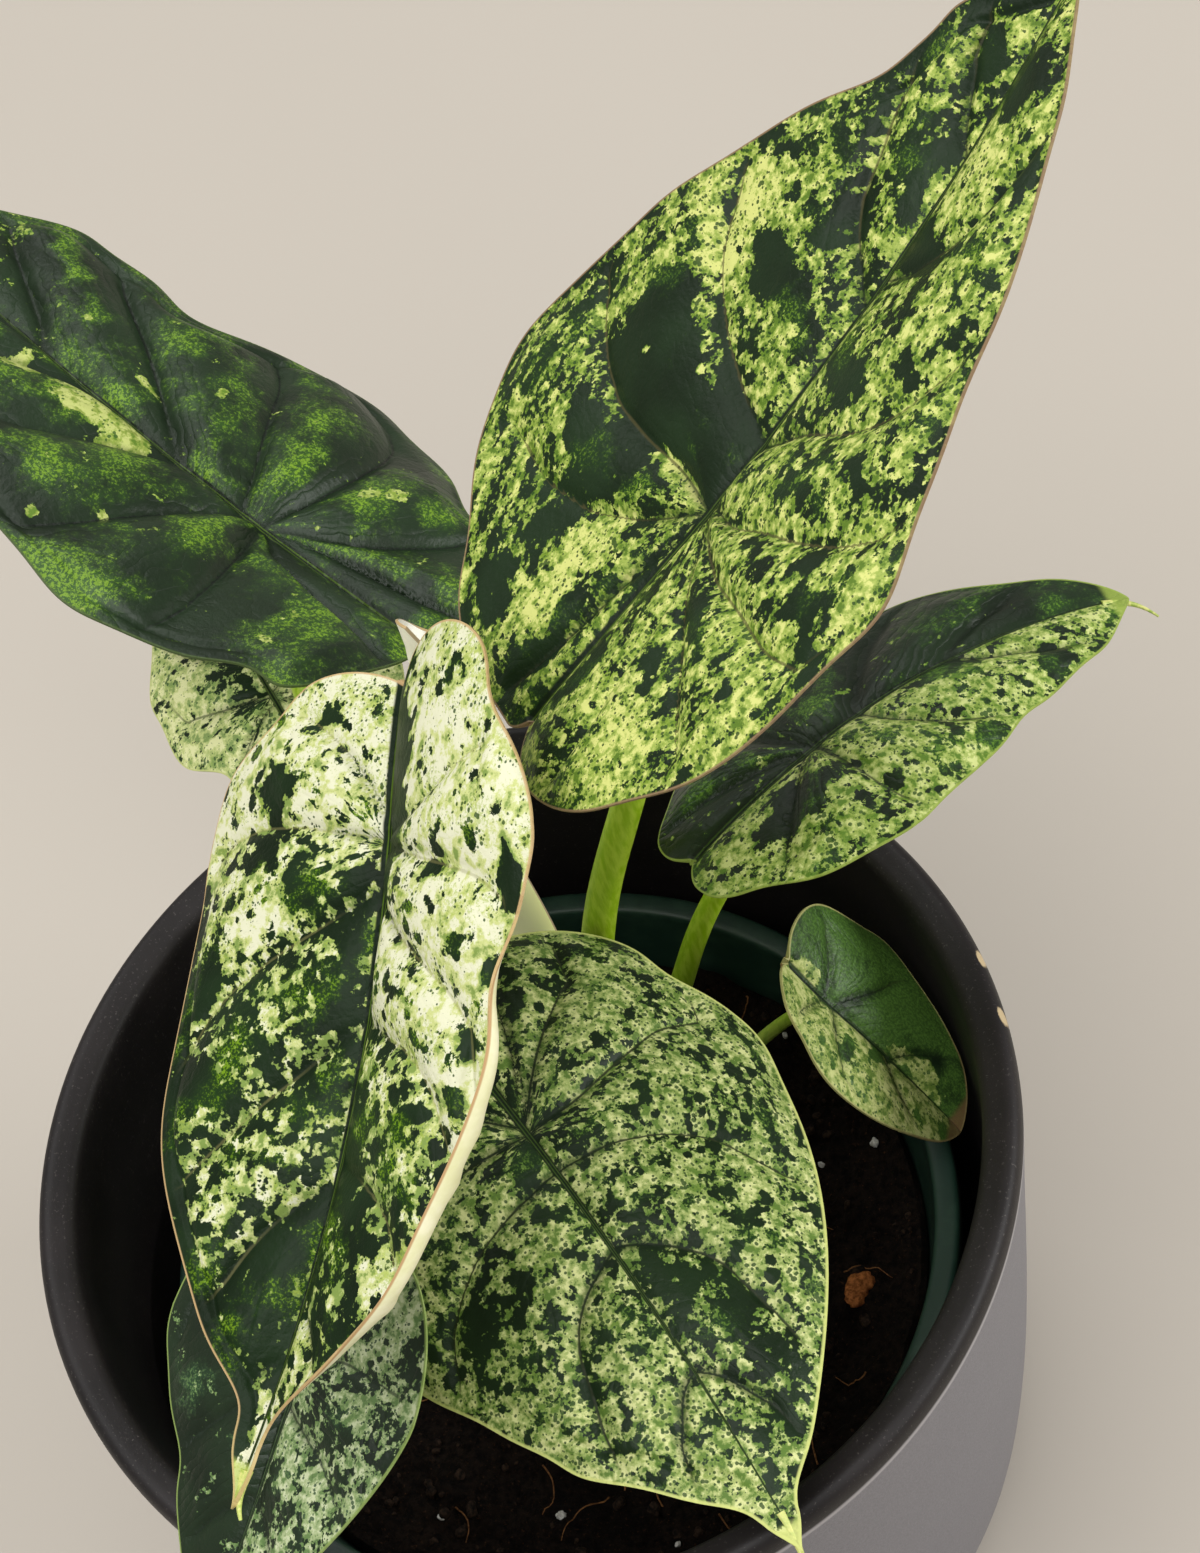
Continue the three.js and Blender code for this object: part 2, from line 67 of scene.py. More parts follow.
bpy.ops.object.camera_add()
camera = bpy.context.object
camera.name = "photo_camera"
axes = Matrix((CAMERA_RIGHT, CAMERA_UP, -CAMERA_FORWARD)).transposed().to_4x4()
camera.matrix_world = Matrix.Translation(CAMERA_PLACE) @ axes
camera.data.lens = LENS
camera.data.sensor_width = 36
camera.data.clip_start = 0.02
bpy.context.scene.camera = camera
print("Camera", LENS, "mm at", tuple(round(v, 3) for v in CAMERA_PLACE))

# %% [markdown]
# ## Studio light
#
# The picture has hardly any shadow on the ground, deep blacks between the leaves and a thin
# bright line on the rim. That is one very large soft light above, a second one far off on the
# right that brushes the pot's wall, a weak one behind, and a dim sky for the rest. The
# standard view keeps the dark greens as deep as the photograph has them.

# %% Light the scene
SKY_COLOUR = (1.0, 0.975, 0.94, 1)
SKY_STRENGTH = 0.36
LIGHTS = [
    # name, place, aim, width, height, watts
    ("overhead_softbox", (-0.30, -0.25, 1.30), (0.02, 0.02, 0.16), 1.2, 1.0, 15.2),
    ("right_softbox", (1.5, -0.5, 0.78), (0.05, 0.0, 0.08), 0.9, 0.8, 19.0),
    ("back_softbox", (-0.1, 0.95, 1.15), (0.0, 0.0, 0.16), 1.2, 0.5, 6.0),
]


def soft_light(name, place, aim, width, height, watts):
    bpy.ops.object.light_add(type="AREA", location=place)
    light = bpy.context.object
    light.name = name
    light.rotation_euler = (Vector(aim) - Vector(place)).to_track_quat("-Z", "Y").to_euler()
    light.data.shape = "RECTANGLE"
    light.data.size = width
    light.data.size_y = height
    light.data.energy = watts
    return light


scene = bpy.context.scene
scene.world = bpy.data.worlds.new("studio_sky")
scene.world.use_nodes = True
sky = scene.world.node_tree.nodes["Background"]
sky.inputs["Color"].default_value = SKY_COLOUR
sky.inputs["Strength"].default_value = SKY_STRENGTH
scene.view_settings.view_transform = "Standard"
for row in LIGHTS:
    soft_light(*row)
print("Lights:", [row[0] for row in LIGHTS])

# %% [markdown]
# ## Shader sums as plain Python
#
# A finish is a lot of small sums: where is the dark patch, how far is the vein, how rough is
# it there. Wiring each Math node by hand hides what is meant. So one small class wraps a
# node's output, and the operators +, -, * and / add the right node. Numbers become Math
# nodes, colours become Mix nodes and vectors become Vector Math nodes. Any other node comes
# from its method `node`, which sets the node up first and then fills its sockets.


# %% The Wire class
class Wire:
    """One output of a shader node, which can be added, subtracted, multiplied and divided."""

    def __init__(self, tree, socket=None):
        self.tree = tree
        self.socket = socket

    def node(self, kind, settings=None, values=None, output=0):
        made = self.tree.nodes.new(kind)
        for name, value in (settings or {}).items():
            setattr(made, name, value)
        for name, value in (values or {}).items():
            if isinstance(value, Wire):
                self.tree.links.new(value.socket, made.inputs[name])
            else:
                made.inputs[name].default_value = value
        return Wire(self.tree, made.outputs[output])

    def sum_of(self, operation, other, reflected=False):
        first, second = (other, self) if reflected else (self, other)
        kinds = {w.socket.type for w in (first, second) if isinstance(w, Wire)}
        if kinds == {"VALUE"}:
            return self.node("ShaderNodeMath", {"operation": operation}, {0: first, 1: second})
        if "RGBA" in kinds:
            settings = {"data_type": "RGBA", "blend_type": operation}
            return self.node("ShaderNodeMix", settings, {0: 1.0, 6: first, 7: second}, 2)
        return self.node("ShaderNodeVectorMath", {"operation": operation}, {0: first, 1: second})

    def __add__(self, other):
        return self.sum_of("ADD", other)

    def __sub__(self, other):
        return self.sum_of("SUBTRACT", other)

    def __rsub__(self, other):
        return self.sum_of("SUBTRACT", other, reflected=True)

    def __mul__(self, other):
        return self.sum_of("MULTIPLY", other)

    def __truediv__(self, other):
        return self.sum_of("DIVIDE", other)

    __radd__ = __add__
    __rmul__ = __mul__

    def math(self, operation, other=0.0):
        return self.node("ShaderNodeMath", {"operation": operation}, {0: self, 1: other})

    def rise(self, low, high):
        """0 below low, 1 above high, and a smooth step between."""
        settings = {"interpolation_type": "SMOOTHSTEP"}
        return self.node("ShaderNodeMapRange", settings, {0: self, 1: low, 2: high})

    def between(self, first, second):
        """first where this mask is 0, second where it is 1."""
        values = {0: self, 6: first, 7: second}
        return self.node("ShaderNodeMix", {"data_type": "RGBA"}, values, 2)

    def parts(self):
        split = self.node("ShaderNodeSeparateXYZ", {}, {0: self})
        return [Wire(self.tree, entry) for entry in split.socket.node.outputs]


print("Wire adds, subtracts, multiplies, divides and mixes")

# %% [markdown]
# ## Colours and small patterns
#
# Colours are named as a painter reads them, from 0 to 255, and turned into the linear values
# that Blender mixes. Almost every natural finish here starts from cloudy noise at some size
# in millimetres, so `clouds` makes that one thing: a value about 0.5, coarser or finer. Every
# finish also ends in one way: `lay_on` feeds the shader, and `bump` roughens the surface.


# %% Colour and pattern helpers
def paint(red, green, blue):
    """A colour as seen on a screen, 0 to 255, as linear red, green, blue and alpha."""
    shares = [value / 255 for value in (red, green, blue)]
    linear = [s / 12.92 if s <= 0.04045 else ((s + 0.055) / 1.055) ** 2.4 for s in shares]
    return (*linear, 1)


def new_material(name):
    material = bpy.data.materials.new(name)
    material.use_nodes = True
    return material, material.node_tree.nodes["Principled BSDF"], Wire(material.node_tree)


def connect(wire, entry):
    wire.tree.links.new(wire.socket, entry)


def lay_on(shader, colour, roughness, gloss=0.5):
    """Feeds the colour and the roughness, which vary. The gloss is one number all over."""
    connect(colour, shader.inputs["Base Color"])
    connect(roughness, shader.inputs["Roughness"])
    shader.inputs["Specular IOR Level"].default_value = gloss


def bump(height, strength, distance, shader):
    settings = {"Height": height, "Strength": strength, "Distance": distance}
    connect(height.node("ShaderNodeBump", {}, settings), shader.inputs["Normal"])


def clouds(place, size, detail=3.0, roughness=0.5):
    """Soft noise about 0.5, with blots of about that size in the place's own units."""
    values = {"Vector": place, "Scale": 1 / size, "Detail": detail, "Roughness": roughness}
    return place.node("ShaderNodeTexNoise", {}, values)


def in_millimetres(start):
    """Places on the piece itself, in millimetres, which don't slide when it moves."""
    place = start.node("ShaderNodeTexCoord", output="Object")
    return place.node("ShaderNodeVectorMath", {"operation": "SCALE"}, {0: place, "Scale": 1 / MM})


print("Dark leaf green is", [round(v, 3) for v in paint(30, 48, 38)])

# %% [markdown]
# ## Tools for modelling
#
# Operators work on whatever is selected, and the loaded frame leaves its nodes selected. So
# each piece starts with nothing selected. `dress` ends each piece: it gets its finish, rides
# on the one body of the model, and stands for its plain solid.


# %% Modelling helpers
def clear_selection():
    if bpy.context.object and bpy.context.object.mode != "OBJECT":
        bpy.ops.object.mode_set(mode="OBJECT")
    bpy.ops.object.select_all(action="DESELECT")


def pick(*objects):
    clear_selection()
    for item in objects:
        item.select_set(True)
    bpy.context.view_layer.objects.active = objects[0]


def apply_modifier(piece, kind, **settings):
    pick(piece)
    modifier = piece.modifiers.new(kind.lower(), kind)
    for name, value in settings.items():
        setattr(modifier, name, value)
    bpy.ops.object.modifier_apply(modifier=modifier.name)


def clean_mesh(piece, merge=1e-6):
    pick(piece)
    bpy.ops.object.mode_set(mode="EDIT")
    bpy.ops.mesh.select_all(action="SELECT")
    bpy.ops.mesh.remove_doubles(threshold=merge)
    bpy.ops.mesh.normals_make_consistent(inside=False)
    bpy.ops.object.mode_set(mode="OBJECT")


def smooth(piece, degrees=50):
    pick(piece)
    bpy.ops.object.shade_smooth_by_angle(angle=math.radians(degrees))


def coat(piece, materials):
    for material in materials:
        piece.data.materials.append(material)


def dress(piece, name, slot, materials, *nodes):
    piece.name = name
    piece.data.name = name
    coat(piece, materials)
    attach(piece, "root")
    if nodes:
        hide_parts(*nodes)
    piece.data.calc_loop_triangles()
    print(name, len(piece.data.loop_triangles), "triangles")
    return piece


def turned(profile, steps):
    """A shape of revolution: a line through (radius, height) in millimetres, spun round Z."""
    clear_selection()
    bpy.ops.mesh.primitive_plane_add(size=1)
    piece = bpy.context.object
    bpy.ops.object.mode_set(mode="EDIT")
    bpy.ops.mesh.merge(type="CENTER")
    place = Vector((profile[0][0] * MM, 0, profile[0][1] * MM))
    bpy.ops.transform.translate(value=place)
    for radius, height in profile[1:]:
        following = Vector((radius * MM, 0, height * MM))
        move = {"value": following - place}
        bpy.ops.mesh.extrude_region_move(TRANSFORM_OT_translate=move)
        place = following
    bpy.ops.mesh.select_all(action="SELECT")
    turn = {"angle": 2 * math.pi, "center": (0, 0, 0), "axis": (0, 0, 1)}
    bpy.ops.mesh.spin(steps=steps, **turn)
    bpy.ops.object.mode_set(mode="OBJECT")
    clean_mesh(piece, 1e-5)
    return piece


print("Helpers ready")

# %% [markdown]
# ## The floor
#
# The photograph's ground is one plain beige grey with no edge. Its colour has only a breath
# of variation, so that it reads as paper and not as a screen. A faint glow of its own keeps
# the shadows on it as weak as the photograph has them.

# %% Floor
FLOOR_WIDTH = 12
PAPER = {"Roughness": 0.9, "Specular IOR Level": 0.1, "Emission Strength": 0.17}

clear_selection()
bpy.ops.mesh.primitive_plane_add(size=FLOOR_WIDTH)
floor = bpy.context.object
floor.name = "paper_floor"
paper, shader, start = new_material("studio_paper")
tint = clouds(in_millimetres(start), 300.0, 2.0)
connect(tint.between(paint(175, 168, 158), paint(171, 164, 154)), shader.inputs["Base Color"])
shader.inputs["Emission Color"].default_value = paint(186, 179, 168)
for socket, value in PAPER.items():
    shader.inputs[socket].default_value = value
coat(floor, [paper])
print("Floor is", FLOOR_WIDTH, "m wide")

# %% [markdown]
# ## The cachepot
#
# A glazed stoneware pot: a dark wall a little wider at the top, with a thick rounded rim. A
# potter would throw it on a wheel, and Blender's spin does the same with one line. The line
# has extra points close to the rim's two edges, because a subdivision surface then rounds
# the edges tightly and leaves the walls straight.

# %% Model the cachepot
CACHEPOT_PROFILE = [
    (0, 0), (40, 0), (54, 0.1), (58, 0.7), (62, 1.8), (67.5, 6.5), (71, 13), (73, 22), (76.4, 44),
    (79.4, 72), (82, 100), (83.4, 114), (84, 119.5), (84.1, 122.3), (83.6, 124.2), (82.2, 125),
    (80.9, 124.7), (79.8, 124.3), (78.5, 123.9), (77.5, 122.9), (77.2, 121), (77, 116), (76.6, 106),
    (73.4, 60), (68, 26), (61, 13.5), (54, 8.4), (50, 8), (0, 8),
]
POT_STEPS = 64


def turned_pot(profile):
    """A spun pot whose sharp line is then rounded by a subdivision surface."""
    pot = turned(profile, POT_STEPS)
    apply_modifier(pot, "SUBSURF", levels=2, render_levels=2)
    smooth(pot, 60)
    return pot


cachepot = turned_pot(CACHEPOT_PROFILE)
print("Cachepot", [round(v, 4) for v in cachepot.dimensions])

# %% [markdown]
# The glaze is a satin anthracite. The rim and the inside are nearly black, with very fine
# paler specks. Down the outside the same glaze is painted a paler grey: painted light, for
# the wall that catches the studio light. It is palest in a painted highlight line where it
# meets the rim.
# One mask has to tell the two sides of the wall apart at every height. The wall's middle
# widens by a small power of the height, and whatever lies further out than that is outside.
# Two small warm glints on the rim are painted reflections. Roughness goes up and down a little
# with the glaze, and that is what makes the long reflection on the wall look soft and not like
# metal.


# %% Finish the cachepot
WALL_MIDDLE = 52.4
WALL_WIDENS = 0.09
FOOT_TOP = (6.0, 8.0)
# where the painted highlight line along the top of the outer wall begins
RIM_HIGHLIGHT_FROM = 118.6
WALL_TOP = 119.6
RIM_FROM = 121.0
# the two painted glints on the rim: their places, and their half size along and across
RIM_GLINTS = ((83.3, 2.5), (82.8, -9.2))
GLINT_HALF_SIZE = (0.6, 1.9)


def outer_wall(x, y, height):
    """1 on the outside of the wall and on the foot, 0 on the inside and on the rim."""
    radius = (x * x + y * y).math("SQRT")
    middle = height.math("POWER", WALL_WIDENS) * WALL_MIDDLE
    outside = (radius - middle).rise(-0.8, 0.8).math("MAXIMUM", 1 - height.rise(*FOOT_TOP))
    return (1 - height.rise(WALL_TOP, RIM_FROM)) * outside


def with_rim_glints(body, x, y, height, grain):
    """Lays painted reflections over the glaze: two small warm glints on the rim, with a ragged edge."""
    for at_x, at_y in RIM_GLINTS:
        along, across = (x - at_x) / GLINT_HALF_SIZE[0], (y - at_y) / GLINT_HALF_SIZE[1]
        far = (along * along + across * across).math("SQRT") + (grain - 0.5) * 0.5
        # the painted glint, on the rim only
        chip = (1 - far.rise(0.7, 1.1)) * height.rise(119.0, RIM_FROM)
        body = (chip * 0.85).between(body, paint(206, 184, 144))
    return body


def glaze():
    material, shader, start = new_material("anthracite_glaze")
    place = in_millimetres(start)
    drift = clouds(place, 22.0, 4.0)
    grain = clouds(place, 0.35, 3.0, 0.6)
    specks = clouds(place, 0.55, 2.0, 0.7).rise(0.62, 0.72)
    x, y, height = place.parts()
    wall = outer_wall(x, y, height)
    black = drift.rise(0.35, 0.65).between(paint(26, 23, 23), paint(34, 30, 30))
    # painted light: the outer wall is the same glaze, painted a paler grey where it catches the light
    lit_wall_grey = grain.rise(0.35, 0.65).between(paint(110, 108, 112), paint(126, 124, 128))
    # painted highlight: a pale line along the top of the outer wall, just under the rim
    rim_highlight = height.rise(RIM_HIGHLIGHT_FROM, WALL_TOP) * wall
    body = (rim_highlight * 0.8).between(wall.between(black, lit_wall_grey), paint(172, 168, 168))
    body = with_rim_glints(body, x, y, height, grain)
    body = (specks * 0.30).between(body, paint(112, 106, 102))
    lay_on(shader, body, 0.42 + drift * 0.08 + grain * 0.08, gloss=0.26)
    bump(grain * 0.6 + drift * 2.0, 0.14, 0.0004, shader)
    return material


dress(cachepot, "cachepot_glazed", "cachepot_ceramic", [glaze()], "cachepot")

# %% [markdown]
# ## The nursery pot
#
# A thin injection-moulded pot in dark green plastic, with a rolled lip and one drain hole.
# Its line starts and ends at the drain hole, so the spun wall is a closed tube of plastic.

# %% Model and finish the nursery pot
NURSERY_PROFILE = [
    (6, 8.3), (47, 8.3), (49.4, 8.9), (50.2, 10.6), (65.7, 79.6), (66.1, 80.8), (68.9, 81.4),
    (69.4, 82), (69.7, 86.9), (69.4, 88.2), (68.6, 88.6), (66, 88.6), (65.2, 88.2), (65, 87),
    (64.5, 80.6), (48.6, 10.9), (47.2, 9.8), (6, 9.7), (6, 8.3),
]


def pot_plastic():
    material, shader, start = new_material("green_pot_plastic")
    place = in_millimetres(start)
    dust = clouds(place, 9.0, 5.0, 0.65)
    body = dust.rise(0.45, 0.75).between(paint(27, 52, 41), paint(46, 72, 57))
    lay_on(shader, body, 0.34 + dust * 0.25)
    bump(clouds(place, 0.5, 2.0), 0.08, 0.0002, shader)
    return material


nursery = turned_pot(NURSERY_PROFILE)
dress(nursery, "nursery_pot_moulded", "nursery_plastic", [pot_plastic()], "nursery_pot")

# %% [markdown]
# ## Soil
#
# Peat is a heap of crumbs at every size. Spinning many rings gives a closed block with a
# dense top. Its top is then lifted and sunk by fractal noise: a few soft heaps, and small
# sharp crumbs. The sides stay smooth, because they are inside the pot.

# %% Model the soil
SOIL_TOP = 76.0
SOIL_BOTTOM = 10.2
SOIL_EDGE = 62.2
SOIL_FOOT = 46.0
SOIL_RINGS = 70
SOIL_STEPS = 220
HEAP_HEIGHT = 0.96
CRUMB_HEIGHT = 1.5
LUMP_HEIGHT = 1.2


def soil_heap(x, y):
    """The soft heaps of the solid that this soil stands for, in millimetres."""
    heap = math.sin(x * 0.31 + 1.3) * math.cos(y * 0.27 - 0.4) + 0.6 * math.sin(x * 0.11 - y * 0.19)
    return HEAP_HEIGHT * heap


def soil_height(x, y):
    """How high the soil stands at a place, in millimetres."""
    crumbs = noise.fractal(Vector((x, y, 4.0)) * 0.34, 0.7, 2.1, 5)
    lumps = noise.noise(Vector((x, y, 9.0)) * 0.11)
    return SOIL_TOP + soil_heap(x, y) + CRUMB_HEIGHT * crumbs + LUMP_HEIGHT * lumps


profile = [(0, SOIL_BOTTOM), (SOIL_FOOT, SOIL_BOTTOM), (SOIL_EDGE, SOIL_TOP - 2)]
profile += [(SOIL_EDGE * (1 - ring / SOIL_RINGS), SOIL_TOP) for ring in range(1, SOIL_RINGS)]
profile += [(0, SOIL_TOP)]
soil = turned(profile, SOIL_STEPS)
for vertex in soil.data.vertices:
    x, y, z = (value / MM for value in vertex.co)
    if z > SOIL_TOP - 0.5:
        vertex.co.z = soil_height(x, y) * MM
smooth(soil, 40)
print("Soil top", round(max(v.co.z for v in soil.data.vertices), 4))

# %% [markdown]
# Damp peat is almost black. Brown crumbs and a few pale fibres keep it from looking like a
# hole, and a strong bump adds the crumbs that are too small for the mesh.


# %% Finish the soil
def peat():
    material, shader, start = new_material("dark_peat")
    place = in_millimetres(start)
    crumbs = clouds(place, 1.6, 6.0, 0.7)
    damp = clouds(place, 12.0, 3.0)
    fibres = clouds(place, 0.7, 5.0, 0.8).rise(0.58, 0.68)
    colour = crumbs.rise(0.35, 0.65).between(paint(6, 5, 4), paint(33, 25, 19))
    colour = (damp.rise(0.4, 0.7) * 0.6).between(colour, paint(10, 7, 6))
    colour = (fibres * 0.6).between(colour, paint(92, 62, 38))
    lay_on(shader, colour, 0.95 - damp * 0.2, gloss=0.1)
    bump(crumbs, 0.9, 0.0016, shader)
    return material


dress(soil, "peat_soil", "potting_soil", [peat()], "soil")

# %% [markdown]
# ## Leaf forms
#
# An alocasia blade is a flat heart that gravity and growth have bent. The same few numbers
# that shaped the solids shape these sheets, so both lie in one place. Pairs are left and right.
#
# - `junction` is where the stalk joins. `heading`, `dip` and `bank` aim the blade there.
# - `sweep`, `droop` and `twist` turn it on towards its tip, and `lobe_droop` turns its lobes.
# - `fold` lifts its halves, and `curl` turns their margins down.
# - `length` runs from the junction to the tip and `lobe_length` to the lobes' ends. `sinus`
#   is where the cut between the lobes begins, and `notch` makes that cut narrower.
# - `half_width`, `lobe_spread`, `shoulder` and `point` give the heart its plain outline.
# - `swells` are the margin's own bulges and waists: the side, where, over what length and
#   how far out.
# - `pillow` is how far each panel between two veins swells.
# - `stalk_base` and `stalk_way` are places that the stalk passes, and `stalk_radius` is its
#   radius at the foot and at the blade.

# %% Each leaf's own numbers, in millimetres and degrees
LEAVES = {
    "back_right": dict(
        junction=(62.3, 20.3, 244), heading=14.5, sweep=16.5, dip=-30.5, droop=1, lobe_droop=0,
        bank=-19.5, twist=0, fold=(9.5, 20.5), curl=(0, 32), length=93.5, lobe_length=45,
        sinus=41.5, half_width=(54.8, 50.6), lobe_spread=0.24, shoulder=1.47, point=0.86,
        swells=((1, 82, 5, 3), (1, 66, 7, -2.6), (1, 30, 9, 1.1), (1, -8, 9, 1.8), (1, -34, 7, -4),
                (-1, 14, 8, 3.2), (-1, 40, 9, -1.5), (-1, 77, 6, 0.9), (-1, -31, 7, -1.5)),
        notch=(0.25, 1), pillow=1.9, stalk_base=(13, 23.2), stalk_radius=(3.1, 2.3),
        stalk_way=((24.5, 27.5, 133), (37.5, 22, 178)),
    ),
    "back_left": dict(
        junction=(-3.8, 87, 195), heading=119.5, sweep=-8, dip=-6, droop=7, lobe_droop=-5,
        bank=19, twist=-2, fold=(31, 10), curl=(37, 43), length=110, lobe_length=42,
        sinus=38.5, half_width=(41, 41), lobe_spread=0.3, shoulder=1.8, point=0.86,
        swells=((1, 2, 9, 1.8), (1, -28, 5, -1.5), (1, -38, 5, 4.5),
                (-1, 78, 8, 3.5), (-1, 46, 11, -6.5), (-1, 15, 10, 5), (-1, -20, 10, -7)),
        pillow=3.0, stalk_base=(-1.6, 18.6), stalk_radius=(2.9, 2.1),
        stalk_way=((-7, 35, 118), (-8, 45, 155), (-6, 63, 178)),
    ),
    "front_tall": dict(
        junction=(1.6, 0.2, 222), heading=-115.5, sweep=-22, dip=22, droop=0, lobe_droop=17,
        bank=21.5, twist=-27, fold=(47, 10), curl=(50, 39), length=99, lobe_length=28.5,
        sinus=25, half_width=(38.5, 40.5), lobe_spread=0.33, shoulder=2.6, point=1.5,
        swells=((1, 1, 6, 1.8), (1, -15, 6, -3.5), (1, 20, 7, -3), (1, 63, 9, 2), (1, 85, 8, -4.5),
                (-1, 1, 5, 1.3), (-1, -23, 5, -5), (-1, 50, 16, 3), (-1, 84, 5, -3.3)),
        pillow=1.7, stalk_base=(4, 24.6), stalk_radius=(2.9, 2.0),
        stalk_way=((0.8, 32, 115), (0, 34, 158), (2, 22, 196)),
    ),
    "front_low": dict(
        junction=(3.5, -12.9, 150), heading=-73, sweep=-7, dip=6.5, droop=12, lobe_droop=18,
        bank=-1.5, twist=2, fold=(1, 6), curl=(43, 55), length=80, lobe_length=36,
        sinus=27, half_width=(45, 45), lobe_spread=0.33, shoulder=1.98, point=1.3,
        swells=((1, 3, 7, 1.7), (1, -16, 7, -3), (1, 71, 4, -1.6),
                (-1, 52, 5, 1.8), (-1, 33, 6, -0.9), (-1, 70, 4, -1.6)),
        pillow=1.6, stalk_base=(8, 6), stalk_radius=(2.6, 1.9),
        stalk_way=((7.5, -1, 112), (6, -8, 136)),
    ),
    "right": dict(
        junction=(67.7, 19.1, 178), heading=23, sweep=-20, dip=3, droop=18, lobe_droop=21,
        bank=-15.5, twist=17, fold=(0, 16), curl=(36, 40), length=61, lobe_length=29.4,
        sinus=26.6, half_width=(25, 25.4), lobe_spread=0.24, shoulder=1.76, point=0.82,
        swells=((1, 28, 7, 2), (1, 44, 6, -1.4), (1, -24, 5, -2.5),
                (-1, 52, 5, 1.3), (-1, 30, 5, -1.1), (-1, 0, 6, 1), (-1, -23, 5, -2.3)),
        pillow=1.6, stalk_base=(18, 15.8), stalk_radius=(2.2, 1.7),
        stalk_way=((34, 27, 107), (44.5, 27, 131)),
    ),
    "inside_pot": dict(
        junction=(57.4, 6.6, 120), heading=-52, sweep=-2, dip=44, droop=9, lobe_droop=-15,
        bank=-20.5, twist=12, fold=(18.5, 30), curl=(41, 27), length=34, lobe_length=14,
        sinus=11, half_width=(18, 18.4), lobe_spread=0.33, shoulder=1.95, point=0.8,
        swells=((1, 4, 6, 2.6), (1, 28, 5, 0.8), (-1, 30, 5, 0.8), (-1, -6, 6, -2.5)),
        pillow=0.5, stalk_base=(16.8, 8.6), stalk_radius=(1.4, 1.1),
        stalk_way=((29, 14.5, 90), (44, 18, 96.5), (51.5, 14, 108)),
    ),
    "behind_left": dict(
        junction=(-13.4, 80.8, 158), heading=100, sweep=-10, dip=6, droop=8, lobe_droop=13,
        bank=-8, twist=2, fold=(6, 10), curl=(41, 34), length=55, lobe_length=23,
        sinus=19, half_width=(22, 23.3), lobe_spread=0.34, shoulder=1.8, point=1.13,
        swells=((1, 18, 5, 2), (1, -9, 8, -7)),
        pillow=0.8, stalk_base=(-2, 12.2), stalk_radius=(2, 1.5),
        stalk_way=((-17, 30, 104), (-21, 56, 136)),
    ),
    "front_left": dict(
        junction=(-42, -37.3, 150), heading=-134.5, sweep=-8, dip=27.5, droop=10, lobe_droop=10,
        bank=14, twist=5, fold=(19, 9), curl=(21, 17), length=56, lobe_length=22.5,
        sinus=18, half_width=(28.2, 28.2), lobe_spread=0.36, shoulder=1.54, point=1.23,
        swells=((-1, 23, 5, -2.2), (-1, 5, 5, 0.9)),
        pillow=1.0, stalk_base=(1.2, 7), stalk_radius=(2.2, 1.6),
        stalk_way=((-16, -11, 99), (-33, -28, 113), (-41.5, -36.5, 131)),
    ),
}
print("Leaves:", list(LEAVES))

# %% [markdown]
# A place on a blade is given by `s`, along the midrib from where the stalk joins, and `x`,
# out from the midrib. The outline says how far the blade reaches at each `s`, and the frame
# says which way the midrib runs there.


# %% Outline and midrib
SWELL_FADE = 4.0
MIDRIB_STEPS = 24


def sided(pair, side):
    """A leaf's left value for side 1, its right value for side -1."""
    return pair[0] if side > 0 else pair[1]


def margin_swell(leaf, side, s, plain):
    """How far the margin's bulges and waists move it out. They fade where the blade ends."""
    behind = np.clip(-s / leaf["lobe_length"], 0, 1)
    fade = np.minimum(np.minimum(1, plain / SWELL_FADE), 3 * np.sqrt(1 - behind**2))
    swell = np.zeros(len(s))
    for own_side, at, long, out in leaf["swells"]:
        if own_side == side:
            swell += out * np.exp(-(((s - at) / long) ** 2))
    return fade * swell


def blade_edges(leaf, side, s):
    """Distance from the midrib to the inner edge, which only the sinus has, and to the margin."""
    half_width = sided(leaf["half_width"], side)
    lobe_tip = leaf["lobe_spread"] * half_width
    ahead = np.clip(s / leaf["length"], 0, 1)
    behind = np.clip(-s / leaf["lobe_length"], 0, 1)
    depth = leaf["lobe_length"] - leaf["sinus"]
    into_sinus = np.clip((-s - leaf["sinus"]) / depth, 0, 1)
    fore = half_width * (1 - ahead ** leaf["shoulder"]) ** leaf["point"]
    lobe = lobe_tip + (half_width - lobe_tip) * np.sqrt(1 - behind**2)
    plain = np.where(s >= 0, fore, lobe)
    notch = sided(leaf.get("notch", (1, 1)), side) * lobe_tip * (1 - np.sqrt(1 - into_sinus))
    return notch, plain + margin_swell(leaf, side, s, plain)


def blade_frame(leaf, s):
    """The midrib's directions at s: along it, to the blade's left, and up from its face."""
    ahead = np.maximum(s, 0) / leaf["length"]
    behind = np.maximum(-s, 0) / leaf["lobe_length"]
    dip = np.radians(leaf["dip"] + leaf["droop"] * ahead - leaf["lobe_droop"] * behind)
    heading = np.radians(leaf["heading"] + leaf["sweep"] * ahead)
    bank = np.radians(leaf["bank"] + leaf["twist"] * ahead)[..., None]
    along = np.stack([np.cos(dip) * np.cos(heading), np.cos(dip) * np.sin(heading), -np.sin(dip)], -1)
    level = np.stack([-np.sin(heading), np.cos(heading), 0 * heading], -1)
    left = level * np.cos(bank) + np.cross(along, level) * np.sin(bank)
    return along, left, np.cross(along, left)


def midrib_points(leaf, s):
    """The midrib's places at s, added up in small steps along its bend."""
    place = np.array(leaf["junction"], float) + np.zeros((len(s), 3))
    for step in range(MIDRIB_STEPS):
        along, _, _ = blade_frame(leaf, s * (step + 0.5) / MIDRIB_STEPS)
        place += along * (s / MIDRIB_STEPS)[:, None]
    return place


print("Back right leaf's half width:", blade_edges(LEAVES["back_right"], 1, np.zeros(1))[1])

